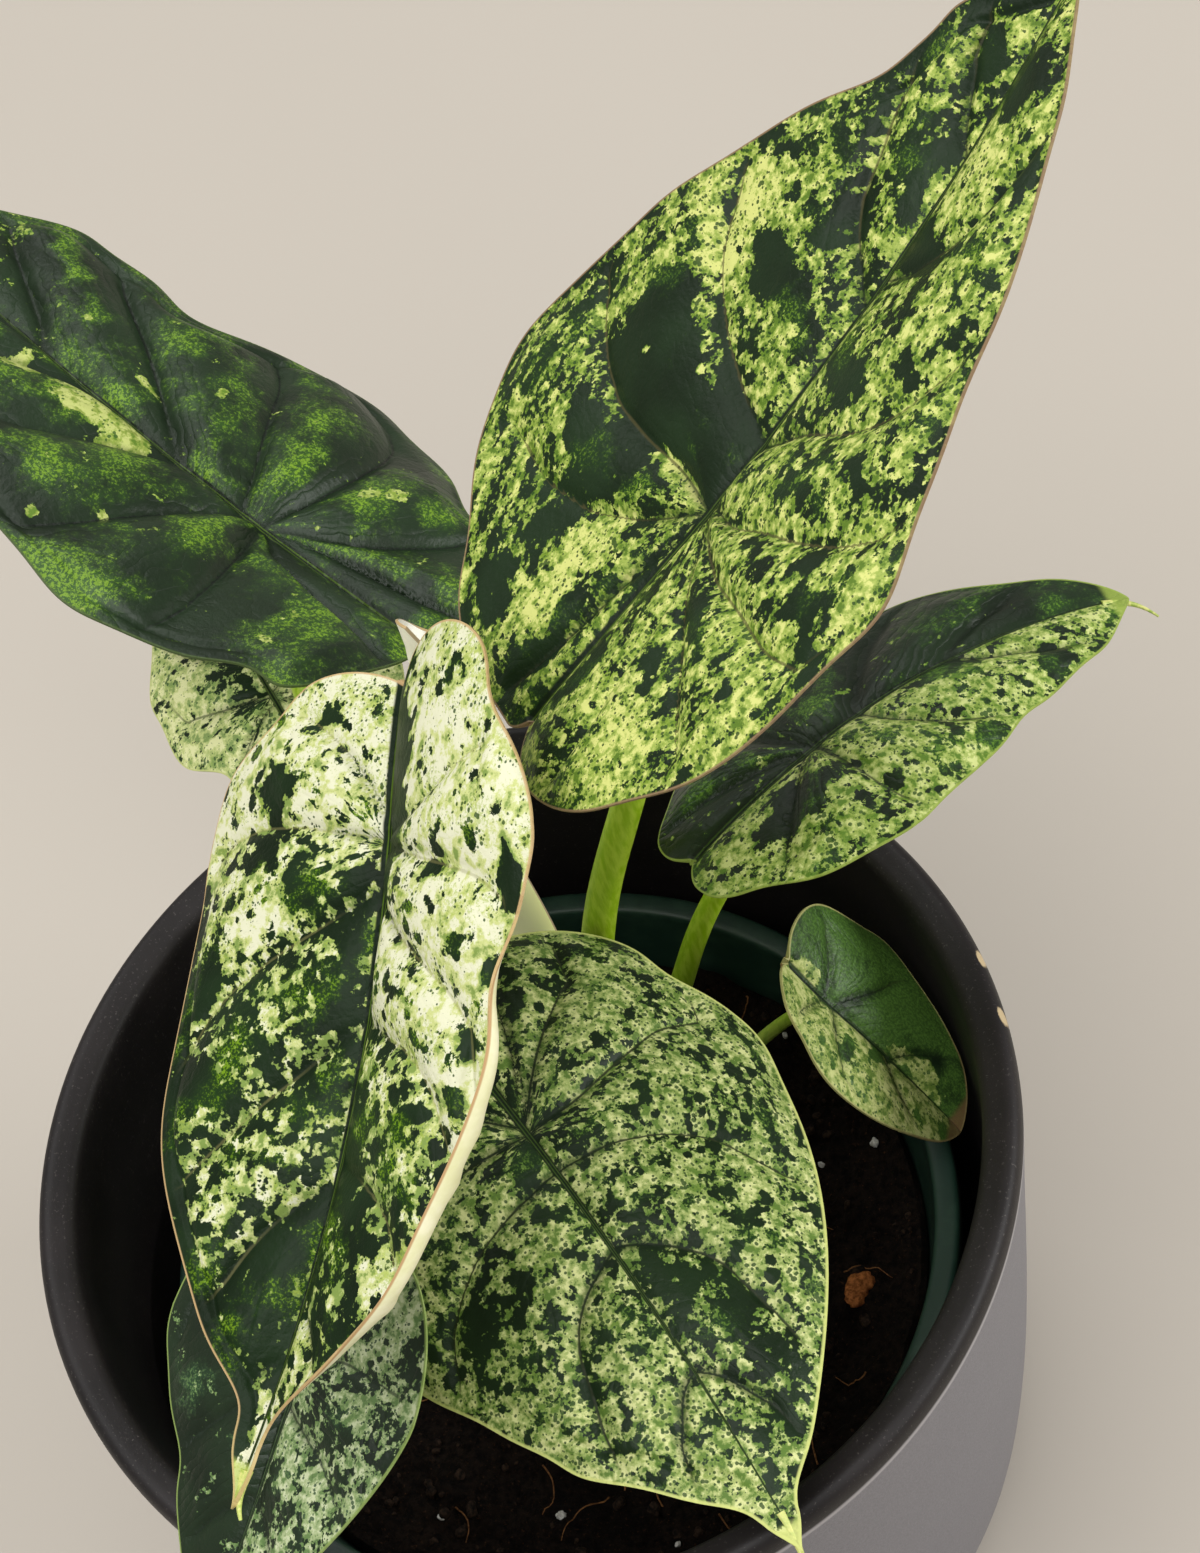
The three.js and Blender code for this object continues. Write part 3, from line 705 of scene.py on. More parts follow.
# %% [markdown]
# ## Veins
#
# Each half has a few strong side veins. They leave the midrib, arch towards the tip and die
# out near the margin, and those of the back lobes fan out from the junction. Each vein is
# drawn here as a short line of points (x, s), from the rear of the blade to its tip. Between
# two veins lies one panel, and a vein number runs from whole to whole across it: that one
# number later places the quilting, the fine vein lines and the colour of whole panels.

# %% The veins of each half, left and right, in millimetres
SMALL_LEAF_VEINS = (
    ((0, -1), (8, -6), (14, -12)), ((0, 0), (8, 3), (16, 8)),
    ((0, 10), (8, 16), (14, 25)), ((0, 28), (6, 36), (8, 44)),
)
VEINS = {
    "back_right": ((
        ((0, 0), (3, -12), (6, -28), (7, -40)),
        ((0, 0), (10, -9), (20, -15), (32, -18), (46, -17)),
        ((0, 0), (10, 0.5), (20, -1), (30, -1.5), (38, 1), (45, 6), (49, 12)),
        ((0, 13), (10, 15.5), (20, 19.5), (28, 25), (33, 31), (36, 42)),
        ((0, 37), (8, 43), (12, 47), (15, 53), (16, 66)),
        ((0, 62), (5, 68), (9, 77)),
    ), (
        ((0, 0), (9, -3), (14, -10), (17, -22), (20, -36)),
        ((0, 0), (9, -3), (16, -8), (25, -12), (40, -21)),
        ((0, 0), (10, -1.5), (20, -2.5), (30, -1.5), (40, -1.5), (47, 1)),
        ((0, 1), (12, 3), (20, 7), (28, 10), (36, 14), (43, 20), (45, 28)),
        ((0, 12), (10, 19.5), (20, 24), (26, 29), (30, 36), (32, 44)),
        ((0, 42), (5, 45), (10, 50), (14, 55), (16.5, 62), (17, 70)),
    )),
    "back_left": ((
        ((0, -2), (8, -12), (9, -25), (10, -35)),
        ((0, -1), (8, -5), (20, -9.5), (30, -12), (39, -11)),
        ((0, 2), (8, 5), (18, 9), (28, 13), (36, 18)),
        ((0, 17), (8, 25), (14, 31), (21, 38), (25, 46)),
        ((0, 42), (8, 52), (14, 62)),
        ((0, 62), (6, 72), (9, 82)),
    ), (
        ((0, -2), (4, -12), (6, -24), (8, -38)),
        ((0, -1), (5, -10), (12, -18), (20, -23.5), (27, -25)),
        ((0, -1), (10, -2.5), (20, -2.5), (30, -1), (37, 2), (40, 8)),
        ((0, 3.5), (10, 10.5), (20, 18), (28, 23.5), (33, 29), (36, 37)),
        ((0, 19), (4, 25), (9, 34), (14, 43), (18, 52), (23, 63)),
        ((0, 54), (5, 62), (8, 70), (14, 84)),
    )),
    "front_tall": ((
        ((0, -1), (13, -3), (22, -7), (30, -10)),
        ((0, 0), (8, 1.5), (22, 4.5), (30, 6.5), (35, 10)),
        ((0, 8), (8, 13), (18, 18), (26, 22.5), (30, 27)),
        ((0, 26), (8, 28), (16, 30), (22, 33.5), (30, 45)),
        ((0, 47), (8, 48.5), (15, 51), (20, 55), (22, 62)),
        ((0, 68), (5, 72), (9, 77)),
    ), (
        ((0, -3), (3, -8), (8, -14), (15, -20), (20, -23)),
        ((0, -1), (8, -2), (16, -3.5), (26, -4), (36, -2), (40, 3)),
        ((0, 6), (5, 9), (10, 12), (20, 18), (27, 23), (33, 30), (35, 38)),
        ((0, 26), (5, 30), (10, 35.5), (15, 40), (20, 46), (27, 55), (29, 62)),
        ((0, 50), (5, 54), (10, 60), (13, 67), (15, 74)),
        ((0, 76), (4, 80), (6, 86)),
    )),
    "front_low": ((
        ((0, -2), (5, -10), (9, -22), (12, -32)),
        ((0, -1), (6, -8), (12, -14), (22, -22)),
        ((0, 0), (10, -0.5), (20, -3), (30, -5.5), (38, -4)),
        ((0, 8), (10, 8.7), (18, 11.5), (25, 16), (34, 30)),
        ((0, 23.5), (5, 26), (10, 30), (14, 35), (16, 42), (16.5, 54)),
        ((0, 47), (5, 52), (8, 60)),
    ), (
        ((0, -2), (5, -10), (9, -22), (12, -32)),
        ((0, -1), (6, -8), (12, -14), (22, -22)),
        ((0, 0), (10, -1), (20, -2), (38, -1)),
        ((0, 8), (10, 9.5), (18, 11.5), (25, 15.5), (31, 20.5), (35, 30)),
        ((0, 24), (8, 28), (13, 33), (16, 41), (17, 52)),
        ((0, 47), (5, 51), (8, 58)),
    )),
    "right": ((
        ((0, -1), (5, -9), (8, -18)), ((0, 0), (8, -3), (16, -5)),
        ((0, 8), (8, 15), (14, 21), (18, 27)), ((0, 26), (5, 34), (8, 44)),
    ), (
        ((0, -1), (6, -8), (12, -14), (16, -18)), ((0, 0), (10, 0.5), (18, 1), (24, 3)),
        ((0, 9), (6, 11.5), (12, 17), (16, 24), (18, 32)), ((0, 28), (4, 32), (6, 38), (7, 46)),
    )),
    "inside_pot": ((
        ((0, -1), (6, -4), (12, -8)), ((0, 0), (8, 6), (14, 9), (17, 13)),
        ((0, 14), (6, 20), (9, 27)),
    ), (
        ((0, -1), (6, -5), (11, -8)), ((0, 0), (8, 2), (14, 6)), ((0, 13), (6, 18), (9, 25)),
    )),
    "behind_left": (SMALL_LEAF_VEINS, SMALL_LEAF_VEINS),
    "front_left": ((
        ((0, -1), (6, -8), (10, -16)), ((0, -1), (10, -4), (24, -3)),
        ((0, 6.5), (8, 9.5), (13, 11), (20, 16)), ((0, 22), (8, 27), (13, 35)),
    ), (
        ((0, -1), (6, -8), (10, -16)), ((0, -1), (12, -4), (24, 0)),
        ((0, 6), (8, 10), (14, 16), (19, 25)), ((0, 22), (7, 28), (11, 37)),
    )),
}
for name, leaf in LEAVES.items():
    leaf["veins"] = VEINS[name]
print("Veins drawn:", sum(len(half) for pair in VEINS.values() for half in pair))

# %% [markdown]
# The short lines are rounded off and run on past their ends, so that every place on a half
# lies between two of them. The mottling needs other coordinates, which run across and along
# the veins: straight ones in front, and a fan round the junction behind.

# %% Vein number and flow
# how steeply a vein runs on past its drawn end, and how far the first and last panel reach
PAST_END = 4.0
BEYOND = 70.0
# sideways steps over which a vein's corners are rounded off
BLUR = (-2.0, -1.0, 0.0, 1.0, 2.0)
LEAST_PANEL = 0.4
LATERAL_LEAN = math.atan(0.62)
FAN_RADIUS = 22.0


def vein_course(line, x):
    """The s of one vein at distance x from the midrib, its corners rounded off."""
    xs, ss = zip(*line)
    course = sum(np.interp(x + step, xs, ss) for step in BLUR) / len(BLUR)
    onward = math.copysign(PAST_END, ss[-1] - ss[0] + 0.1)
    return course + onward * np.maximum(x - xs[-1], 0)


def vein_field(leaf, side, s, x):
    """The vein number at a place, and how many millimetres one number is wide square to it."""
    lines = sided(leaf["veins"], side)
    courses = [vein_course(line, x) for line in lines]
    slopes = [vein_course(line, x + 0.5) - vein_course(line, x - 0.5) for line in lines]
    courses = [courses[0] - BEYOND, *courses, courses[-1] + BEYOND]
    slopes = [slopes[0], *slopes, slopes[-1]]
    for later in range(1, len(courses)):
        courses[later] = np.maximum(courses[later], courses[later - 1] + LEAST_PANEL)
    number = np.full(len(s), -0.5)
    width = np.full(len(s), BEYOND)
    for count, (low, high) in enumerate(zip(courses, courses[1:])):
        inside = (s >= low) & (s < high)
        share = (s - low) / (high - low)
        slope = slopes[count] + (slopes[count + 1] - slopes[count]) * share
        number = np.where(inside, count - 1 + share, number)
        width = np.where(inside, (high - low) / np.hypot(1, slope), width)
    return number, width


def off_vein(number, width):
    """How many millimetres it is to the nearest side vein."""
    return np.abs(number - np.round(number)) * width


def flow_place(s, x):
    """Coordinates in millimetres that run across and along the side veins, for the mottling."""
    across = s * math.cos(LATERAL_LEAN) - x * math.sin(LATERAL_LEAN)
    fan = -FAN_RADIUS * (np.arctan2(x, s) - (math.pi / 2 - LATERAL_LEAN))
    ahead = s * math.sin(LATERAL_LEAN) + x * math.cos(LATERAL_LEAN)
    return np.where(across >= 0, across, fan), np.where(across >= 0, ahead, np.hypot(s, x))


number, width = vein_field(LEAVES["back_right"], 1, np.array([5.0]), np.array([10.0]))
print("Vein number at s 5, x 10:", number, "in a panel", width, "mm wide")

# %% [markdown]
# Between its veins a blade is quilted: each panel swells a little, and the veins lie in
# grooves. Only a sheet as fine as this one can hold them. Both fade out beside the midrib,
# where the two halves have to meet at one height. Some margins have a hem, a narrow strip set
# off by a crease. One leaf also has a margin that rolls right over and shows its pale back.
# There the sheet is wider than the outline, and what is past the line `straight` goes round a
# small circle instead of straight on.

# %% Relief, roll and bending
MIDRIB_GROOVE = 0.6
VEIN_GROOVE = 0.42
GROOVE_WIDTH = 1.1
SEAM_WIDTH = 1.2
FLAT_MARGIN = 1.2
RELIEF_FADE = 4.2
FULL_PANEL = 12
PILLOW_RISE = 5
LEAST_RIB = 0.15
CURL_STEPS = 10
ROLL_RADIUS = 1.35
# for a leaf's side: the middle and half length of the rolled stretch, and how far it turns
ROLLED_MARGINS = {("front_tall", 1): (48.0, 33.0, math.radians(165))}
NO_ROLL = (0.0, 1.0, 0.0)
CREASE_DEPTH = 0.7
CREASE_WIDTH = 0.7
HEMS = {
    # side, middle and half length along the margin, width, and how much paler
    "back_right": ((1, 78, 20, 4.2, -0.32),),
    "front_tall": ((-1, 52, 36, 2.8, -0.55),),
    "front_low": ((-1, 53, 25, 4.8, 0.12),),
    "back_left": ((1, 10, 40, 3.0, 0), (-1, 50, 36, 3.0, 0)),
}


def along_stretch(s, middle, half_length):
    """1 along one stretch of the margin, with soft ends."""
    return np.exp(-(((s - middle) / half_length) ** 4))


def hems(leaf, side, s):
    """For each hem of this side: its width, how much paler it is, and where it runs."""
    for own_side, middle, half_length, wide, paler in leaf["hems"]:
        if own_side == side:
            yield wide, paler, along_stretch(s, middle, half_length)


def blade_relief(leaf, side, s, x, inset):
    """How far the face stands above the plain bent sheet."""
    fade = np.clip((inset - FLAT_MARGIN) / RELIEF_FADE, 0, 1) ** 0.8
    number, width = vein_field(leaf, side, s, x)
    arch = np.abs(np.sin(math.pi * number)) ** 0.8
    pillow = leaf["pillow"] * (arch - 0.35) * np.clip(width / FULL_PANEL, 0, 1)
    groove = VEIN_GROOVE * np.exp(-((off_vein(number, width) / GROOVE_WIDTH) ** 2))
    taper = np.clip(1 - s / leaf["length"], LEAST_RIB, 1) * np.where(s < -leaf["sinus"], 0, 1)
    rib = MIDRIB_GROOVE * np.exp(-((x / GROOVE_WIDTH) ** 2)) * taper
    crease = np.zeros(len(s))
    for wide, _, presence in hems(leaf, side, s):
        crease += presence * np.exp(-(((inset - wide) / CREASE_WIDTH) ** 2))
    beside = np.clip(x / SEAM_WIDTH, 0, 1)
    relief = (pillow * np.clip(x / PILLOW_RISE, 0, 1) - groove * beside) * fade
    return relief - rib - CREASE_DEPTH * crease * beside


def roll_angle(leaf, side, s):
    """How far round the margin rolls at s, in radians."""
    middle, half_length, most = leaf["rolls"].get(side, NO_ROLL)
    return most * along_stretch(s, middle, half_length)


def sheet_edges(leaf, side, s):
    """Like blade_edges, but along the sheet, with the strip that is rolled up."""
    inner, outer = blade_edges(leaf, side, s)
    angle = roll_angle(leaf, side, s)
    return inner, outer + ROLL_RADIUS * (angle - np.sin(np.minimum(angle, math.pi / 2)))


def blade_places(leaf, side, s, x, inset):
    """Where each place of the flat blade lies once it is bent, quilted and rolled."""
    _, left, up = blade_frame(leaf, s)
    fold = math.radians(sided(leaf["fold"], side))
    curl = math.radians(sided(leaf["curl"], side)) / sided(leaf["half_width"], side)
    past = np.clip(ROLL_RADIUS * roll_angle(leaf, side, s) - inset, 0, None)
    straight = x - past
    sideways = np.zeros(len(s))
    upwards = np.zeros(len(s))
    for step in range(CURL_STEPS):
        angle = fold - curl * straight * (step + 0.5) / CURL_STEPS
        sideways += np.cos(angle) * straight / CURL_STEPS
        upwards += np.sin(angle) * straight / CURL_STEPS
    slope = np.where(straight < 1e-6, 0, fold - curl * straight)
    lift = blade_relief(leaf, side, s, x, inset) + ROLL_RADIUS * (1 - np.cos(past / ROLL_RADIUS))
    outward = ROLL_RADIUS * np.sin(past / ROLL_RADIUS)
    sideways += outward * np.cos(slope) - lift * np.sin(slope)
    upwards += outward * np.sin(slope) + lift * np.cos(slope)
    return midrib_points(leaf, s) + left * (side * sideways)[:, None] + up * upwards[:, None]


for name, leaf in LEAVES.items():
    leaf["hems"] = HEMS.get(name, ())
    leaf["rolls"] = {side: roll for (rolled, side), roll in ROLLED_MARGINS.items() if rolled == name}
print("Grooves are", VEIN_GROOVE, "and", MIDRIB_GROOVE, "mm deep")

# %% [markdown]
# ## From a grid to a blade
#
# Each half starts as a plain grid from Blender's own primitives. Its rows become stations
# along the midrib and its columns go out to the margin. A leaf's double curve is far easier
# to say as a formula than to pull with the mouse, so the grid's points are placed in code.
# The halves are then joined and merged along the midrib, and Solidify gives the blade its
# thickness, with the midrib and the side veins standing proud underneath.
#
# The blade also carries its own map in three attributes, which the finish reads: `blade`
# holds `s`, `x` and the distance to the margin, `veins` holds the vein number, its width and
# how pale the tissue is, and `flow` holds the coordinates that the mottling follows.


# %% From flat grids to places
ROW_LENGTH = 0.62
LOBE_ROWS = 16
BASE_SHARE = 0.28
TIP_CROWDING = 1.25
OUTLINE_POINTS = 260


def flat_grid(columns, rows):
    """A grid, and the share of the way across and along it that each of its points has."""
    clear_selection()
    bpy.ops.mesh.primitive_grid_add(x_subdivisions=columns, y_subdivisions=rows, size=2)
    sheet = bpy.context.object
    flat = np.zeros(len(sheet.data.vertices) * 3)
    sheet.data.vertices.foreach_get("co", flat)
    across, along, _ = (flat.reshape(-1, 3).T + 1) / 2
    return sheet, across, along


def lay_out(sheet, places, maps):
    """Moves a grid's points to their places, and stores the maps that its finish reads."""
    sheet.data.vertices.foreach_set("co", (places * MM).ravel())
    for name, values in maps.items():
        stored = sheet.data.attributes.new(name, "FLOAT_VECTOR", "POINT")
        stored.data.foreach_set("vector", np.stack(values, -1).ravel())


def stations(leaf, row, rows):
    """s for each row, with rows closer together where the outline turns."""
    base_rows = round(BASE_SHARE * rows)
    fore_rows = rows - LOBE_ROWS - base_rows
    turn = np.cos(np.clip(row / LOBE_ROWS, 0, 1) * math.pi / 2)
    lobe = -leaf["sinus"] - (leaf["lobe_length"] - leaf["sinus"]) * turn
    base = -leaf["sinus"] * (1 - np.clip((row - LOBE_ROWS) / base_rows, 0, 1))
    share = np.clip((row - LOBE_ROWS - base_rows) / fore_rows, 0, 1)
    fore = leaf["length"] * (1 - (1 - share) ** TIP_CROWDING)
    return np.where(row < LOBE_ROWS, lobe, np.where(row < LOBE_ROWS + base_rows, base, fore))


def margin_distance(leaf, side, s, x):
    """The shortest way from each place to the outline, measured on the flat blade."""
    length, lobe_length = leaf["length"], leaf["lobe_length"]
    turn = np.cos(np.linspace(0, math.pi, OUTLINE_POINTS))
    along = (length - lobe_length) / 2 - (length + lobe_length) / 2 * turn
    inner, outer = sheet_edges(leaf, side, along)
    sinus = along < -leaf["sinus"]
    line_s = np.concatenate([along[sinus][::-1], along])
    line_x = np.concatenate([inner[sinus][::-1], outer])
    nearest = np.full(len(s), BEYOND)
    for s0, x0, s1, x1 in zip(line_s, line_x, line_s[1:], line_x[1:]):
        run, rise = s1 - s0, x1 - x0
        share = np.clip(((s - s0) * run + (x - x0) * rise) / (run**2 + rise**2 + 1e-9), 0, 1)
        nearest = np.minimum(nearest, np.hypot(s - s0 - run * share, x - x0 - rise * share))
    return nearest


print("Rows are", ROW_LENGTH, "mm apart")

# %% [markdown]
# How pale each place is gets worked out here too, on the mesh, because the brush dabs follow
# the leaf and not the space round it. Their edges waver, so that no dab is a plain oval.


# %% Paleness
def waver(s, x):
    """Two gentle waves, in millimetres, that push a dab's edge along and across."""
    along = 1.3 * np.sin(0.55 * x + 0.31 * s) + 0.8 * np.sin(1.3 * s - 0.9 * x)
    across = 1.3 * np.sin(0.50 * s - 0.37 * x + 2) + 0.8 * np.sin(1.1 * x + 1.2 * s)
    return along, across


def paleness(leaf, side, s, x, number, inset):
    """How pale the tissue is: the half's cover, its tinted panels, its hems and its dabs."""
    pale = np.full(len(s), float(sided(leaf["cover"], side)))
    for half, panel, farthest, amount in leaf["panels"]:
        if half == side:
            pale += amount * (np.floor(number) == panel) * np.clip((farthest - x) / 5, 0, 1)
    for wide, paler, presence in hems(leaf, side, s):
        pale += paler * (np.clip(wide - inset + 0.5, 0, 1) * presence)
    wave_s, wave_x = waver(s, x)
    for half, at_s, at_x, long, wide, amount in leaf["dabs"]:
        if half == side:
            share = min(1, 0.25 * min(long, wide))
            off_s, off_x = s - at_s + share * wave_s, x - at_x + share * wave_x
            far = (off_s / long) ** 2 + (off_x / wide) ** 2
            pale += amount * np.exp(-(far**2))
    return pale


print("Waves at s 10, x 10:", waver(10, 10))

# %% [markdown]
# Solidify takes one thickness for the whole sheet and a vertex group that holds each point's
# share of it. That share is small at the margin and large under the veins, which is how the
# ribs come to stand proud on the back.

# %% Halves, blade and thickness
BLADE_DEPTH = 0.9
MARGIN_DEPTH = 0.4
RIB_DEPTH = 1.1
RIB_WIDTH = 1.4
SIDE_RIB_DEPTH = 0.3
SIDE_RIB_WIDTH = 0.9
MERGE_WITHIN = 2e-5
# far enough for the two halves of a blade to share no noise
HALF_APART = 31.0


def blade_half(leaf, side, rows, columns):
    half, share_out, share_along = flat_grid(columns, rows)
    s = stations(leaf, np.round(share_along * rows), rows)
    inner, outer = sheet_edges(leaf, side, s)
    x = inner + (outer - inner) * share_out
    inset = margin_distance(leaf, side, s, x)
    number, width = vein_field(leaf, side, s, x)
    across, reach = flow_place(s, x)
    lay_out(half, blade_places(leaf, side, s, x, inset), {
        "blade": (s, x * side, inset),
        "veins": (number, width, paleness(leaf, side, s, x, number, inset)),
        "flow": (across, reach, np.full(len(s), HALF_APART * side)),
    })
    return half


def stored_map(blade, name):
    values = np.zeros(len(blade.data.vertices) * 3)
    blade.data.attributes[name].data.foreach_get("vector", values)
    return values.reshape(-1, 3).T


def thicken(leaf, blade):
    """Thickness by vertex group: thin at the margin, with ribs under the veins."""
    s, x, inset = stored_map(blade, "blade")
    number, width, _ = stored_map(blade, "veins")
    rib = np.exp(-((x / RIB_WIDTH) ** 2)) * np.clip(1 - np.abs(s) / leaf["length"], LEAST_RIB, 1)
    side_rib = np.exp(-((off_vein(number, width) / SIDE_RIB_WIDTH) ** 2)) * np.clip(inset / 8, 0, 1)
    sheet = MARGIN_DEPTH + (BLADE_DEPTH - MARGIN_DEPTH) * np.clip(inset / 5, 0, 1)
    depth = sheet + np.maximum(RIB_DEPTH * rib, SIDE_RIB_DEPTH * side_rib)
    full = BLADE_DEPTH + RIB_DEPTH
    group = blade.vertex_groups.new(name="depth")
    for index, share in enumerate(depth / full):
        group.add([index], float(share), "REPLACE")
    apply_modifier(
        blade, "SOLIDIFY", thickness=full * MM, offset=-1, vertex_group="depth",
        material_offset=1, use_rim=True,
    )


def blade_mesh(leaf, finishes):
    rows = round((leaf["length"] + leaf["lobe_length"]) / ROW_LENGTH)
    columns = round(max(leaf["half_width"]) / ROW_LENGTH)
    pick(*(blade_half(leaf, side, rows, columns) for side in (1, -1)))
    bpy.ops.object.join()
    blade = bpy.context.object
    clean_mesh(blade, MERGE_WITHIN)
    _, _, up = blade_frame(leaf, np.array([0.0]))
    normals = np.zeros(len(blade.data.polygons) * 3)
    blade.data.polygons.foreach_get("normal", normals)
    if normals.reshape(-1, 3).mean(0) @ up[0] < 0:
        blade.data.flip_normals()
    coat(blade, finishes)
    thicken(leaf, blade)
    smooth(blade, 70)
    return blade


print("Blades are", BLADE_DEPTH, "mm thick and", MARGIN_DEPTH, "mm at the margin")


# %% [markdown]
# ## Where each leaf is pale
#
# No two leaves of this plant are marked alike. `COVER` says how much of the left and right
# half is pale. `PANELS` makes whole panels between two veins paler or darker: side, panel,
# how far out and by how much. `DABS` are soft touches of a brush: side, the place as `s` and
# `x`, the size along both, and how much paler or darker. The small mottling comes later, from
# noise.

# %% Cover, panels and dabs
COVER = {
    "back_right": (0.51, 0.60), "back_left": (-0.06, -0.06), "front_tall": (0.90, 0.62),
    "front_low": (0.60, 0.60), "right": (-0.1, 0.66), "inside_pot": (-0.2, 0.80),
    "behind_left": (0.80, 0.80), "front_left": (0.54, -0.05),
}
PANELS = {
    "back_right": ((1, 2, 39, -1.5),),
    "front_tall": (
        (1, 3, 60, -0.48), (1, 4, 60, -0.60), (1, 5, 60, -0.3), (-1, -1, 60, 0.35),
        (-1, 0, 60, 0.30), (-1, 2, 60, -0.22), (-1, 3, 60, -0.10), (-1, 4, 60, -0.5),
        (-1, 5, 60, -0.25),
    ),
    "front_low": ((1, 4, 60, -0.12),),
}
DABS = {
    "back_right": (
        (1, -6, 24, 5, 13, -0.7), (1, -18, 26, 10, 7, -0.4), (1, -36, 26, 7, 5, -0.5),
        (1, -24, 14, 12, 6, 0.6), (1, -32, 8, 11, 2.2, -0.9), (1, 0.6, 10, 1.1, 8, 1.9),
        (1, 32, 20, 4.5, 10, -0.7), (1, 44, 13, 3.5, 3.5, -0.6), (1, 49, 28, 2, 3, -0.4),
        (1, 57, 4, 8, 2.2, -0.7), (1, 63, 9, 4, 2.5, -0.5), (1, 75, 6, 5, 2.5, -0.6),
        (1, 9, 31, 1.2, 1.0, 2.2), (1, 13.5, 19, 0.8, 0.8, 2.2), (1, 33, 33, 12, 8, 0.9),
        (1, 13, 13, 2.5, 4, 1.5), (1, 16.5, 20, 3, 5, 1.6), (1, 21, 27, 4, 4, 1.6),
        (1, 28, 32, 5, 4, 1.6), (-1, 76, 4, 6, 6, -0.9), (-1, 62, 7, 7, 6, 0.4),
        (-1, 48, 5, 5, 6, -1.0), (-1, 65, 19, 6, 2.6, -0.6), (-1, 52, 15, 5, 3.5, -0.5),
        (-1, 29, 13, 3.6, 5, -0.6), (-1, 36, 24, 2, 3, -0.4), (-1, 15, 24, 2.2, 5, -0.5),
        (-1, 22, 32, 1.6, 5, -0.5), (-1, 7, 41, 4, 3.5, -0.7), (-1, -8, 22, 2.6, 7, -0.7),
        (-1, -17, 23, 2.6, 5, -0.6), (-1, -28, 7, 8, 2.4, -0.6), (-1, -10, 5, 6, 2, -0.4),
        (-1, -26, 24, 9, 10, 0.3),
    ),
    "back_left": (
        (1, 33, 6, 12, 4.5, 1.5), (1, 51, 9, 4, 4, 1.3), (1, -27, 25.5, 1.8, 0.7, 1.3),
        (1, 19, 33, 1.5, 1, 1.0), (1, 12, 24, 1.2, 0.8, 0.9), (-1, -8, 17, 1.9, 2.4, 1.4),
        (-1, -11, 20.5, 1.9, 1.6, 1.4), (-1, 36, 7.5, 2.8, 0.8, 1.2), (-1, 25, 15, 1.2, 2, 0.8),
        (-1, 84, 14, 4, 4, 0.5), (-1, 54, 9.5, 1.2, 0.7, 1.2),
    ),
    "front_tall": (
        (1, -12, 5, 13, 5, -2.6), (1, 5, 4, 4, 5, -1.5), (1, 7, 36, 4, 2, -1.4), (1, 44, 5, 7, 5, -0.6),
        (1, 33, 14, 3, 8, 0.25), (1, 60, 20, 4, 4, 0.5), (1, 29, 30, 3, 1.6, -0.8),
        (1, 5.5, 20, 1.2, 3, -0.9), (1, 15, 27, 0.9, 2, -0.8), (1, -20, 22, 1.6, 1.2, -0.9),
        (1, 36, 29, 2, 2.4, -0.8), (1, 18, 33, 3, 1.2, -0.7), (-1, -9, 22, 5, 5, -0.9),
        (-1, 5, 5, 1.8, 3, -0.8), (-1, 6, 14, 4, 3.6, -0.6), (-1, 0, 23, 3, 2, -0.8),
        (-1, 20, 5, 8, 3, -0.5), (-1, 24, 33, 6, 3.6, -0.8), (-1, 40, 27, 3, 6, -0.9),
        (-1, 12, 22, 4, 8, 0.45), (-1, 27, 14, 3, 6, 0.2), (-1, 38, 5, 4, 4, -0.5),
        (-1, 92, 0, 9, 1.6, 1.4), (1, 92, 0, 9, 1.6, 1.2), (-1, 66, 7, 7, 5, -0.25),
        (-1, -21, 12, 2, 2, -0.9),
    ),
    "front_low": (
        (-1, 21, 23, 6, 6, -0.5), (1, 46, 11, 8, 4.5, -0.3), (-1, 40, 14, 6, 2.5, -0.4),
        (1, 62, 7, 2.5, 4, -0.4), (1, 33, 18, 4, 5, -0.25), (1, 16, 26, 3, 5, -0.15),
        (1, -22, 11, 3, 2, -0.6), (-1, 47, 8, 9, 4, 0.2), (1, -8, 28, 8, 8, 0.1),
        (-1, 4, 4, 3, 6, -0.4), (1, 2, 4, 3, 6, -0.2), (1, 30, 6, 9, 6, -0.22),
        (-1, 30, 5, 9, 4, -0.15),
    ),
    "right": (
        (-1, -10, 9, 8, 3.6, -1.1), (-1, 42, 10, 5, 3, -0.7), (-1, 52, 4, 4, 4, 0.2),
        (-1, 22, 19, 3, 1.8, -0.8), (-1, 2.5, 18, 1.8, 3, -0.8), (-1, 11, 21, 1.2, 2, -0.7),
        (-1, 25, 3, 5, 2.5, -0.7), (1, 8, 6, 8, 4, 0.3), (1, -12, 5, 10, 4, 0.3), (1, 20, 4, 3, 4, 0.3),
    ),
    "inside_pot": (
        (1, 20, 2, 9, 2.2, 1.1), (-1, 10.5, 2.6, 2, 2, -1.2), (-1, 4.5, 8, 1.6, 3, -1.0),
        (-1, 30, 4, 3, 2.5, -0.8), (-1, -1, 12, 1.4, 1.4, -0.8), (1, -8, 1, 4, 2.5, 1.2),
    ),
    "behind_left": ((1, 5, 4, 8, 3, -0.6), (-1, -4, 12, 4, 6, -0.4)),
    "front_left": (
        (1, 6, 10, 3, 8, -0.3), (1, 22, 4, 6, 3, -0.3), (1, 16, 12, 4, 5, 0.2),
        (1, -12, 16, 6, 8, 0.2),
    ),
}
for name, leaf in LEAVES.items():
    leaf["cover"] = COVER[name]
    leaf["panels"] = PANELS.get(name, ())
    leaf["dabs"] = DABS[name]
print("Brush dabs:", sum(len(dabs) for dabs in DABS.values()))

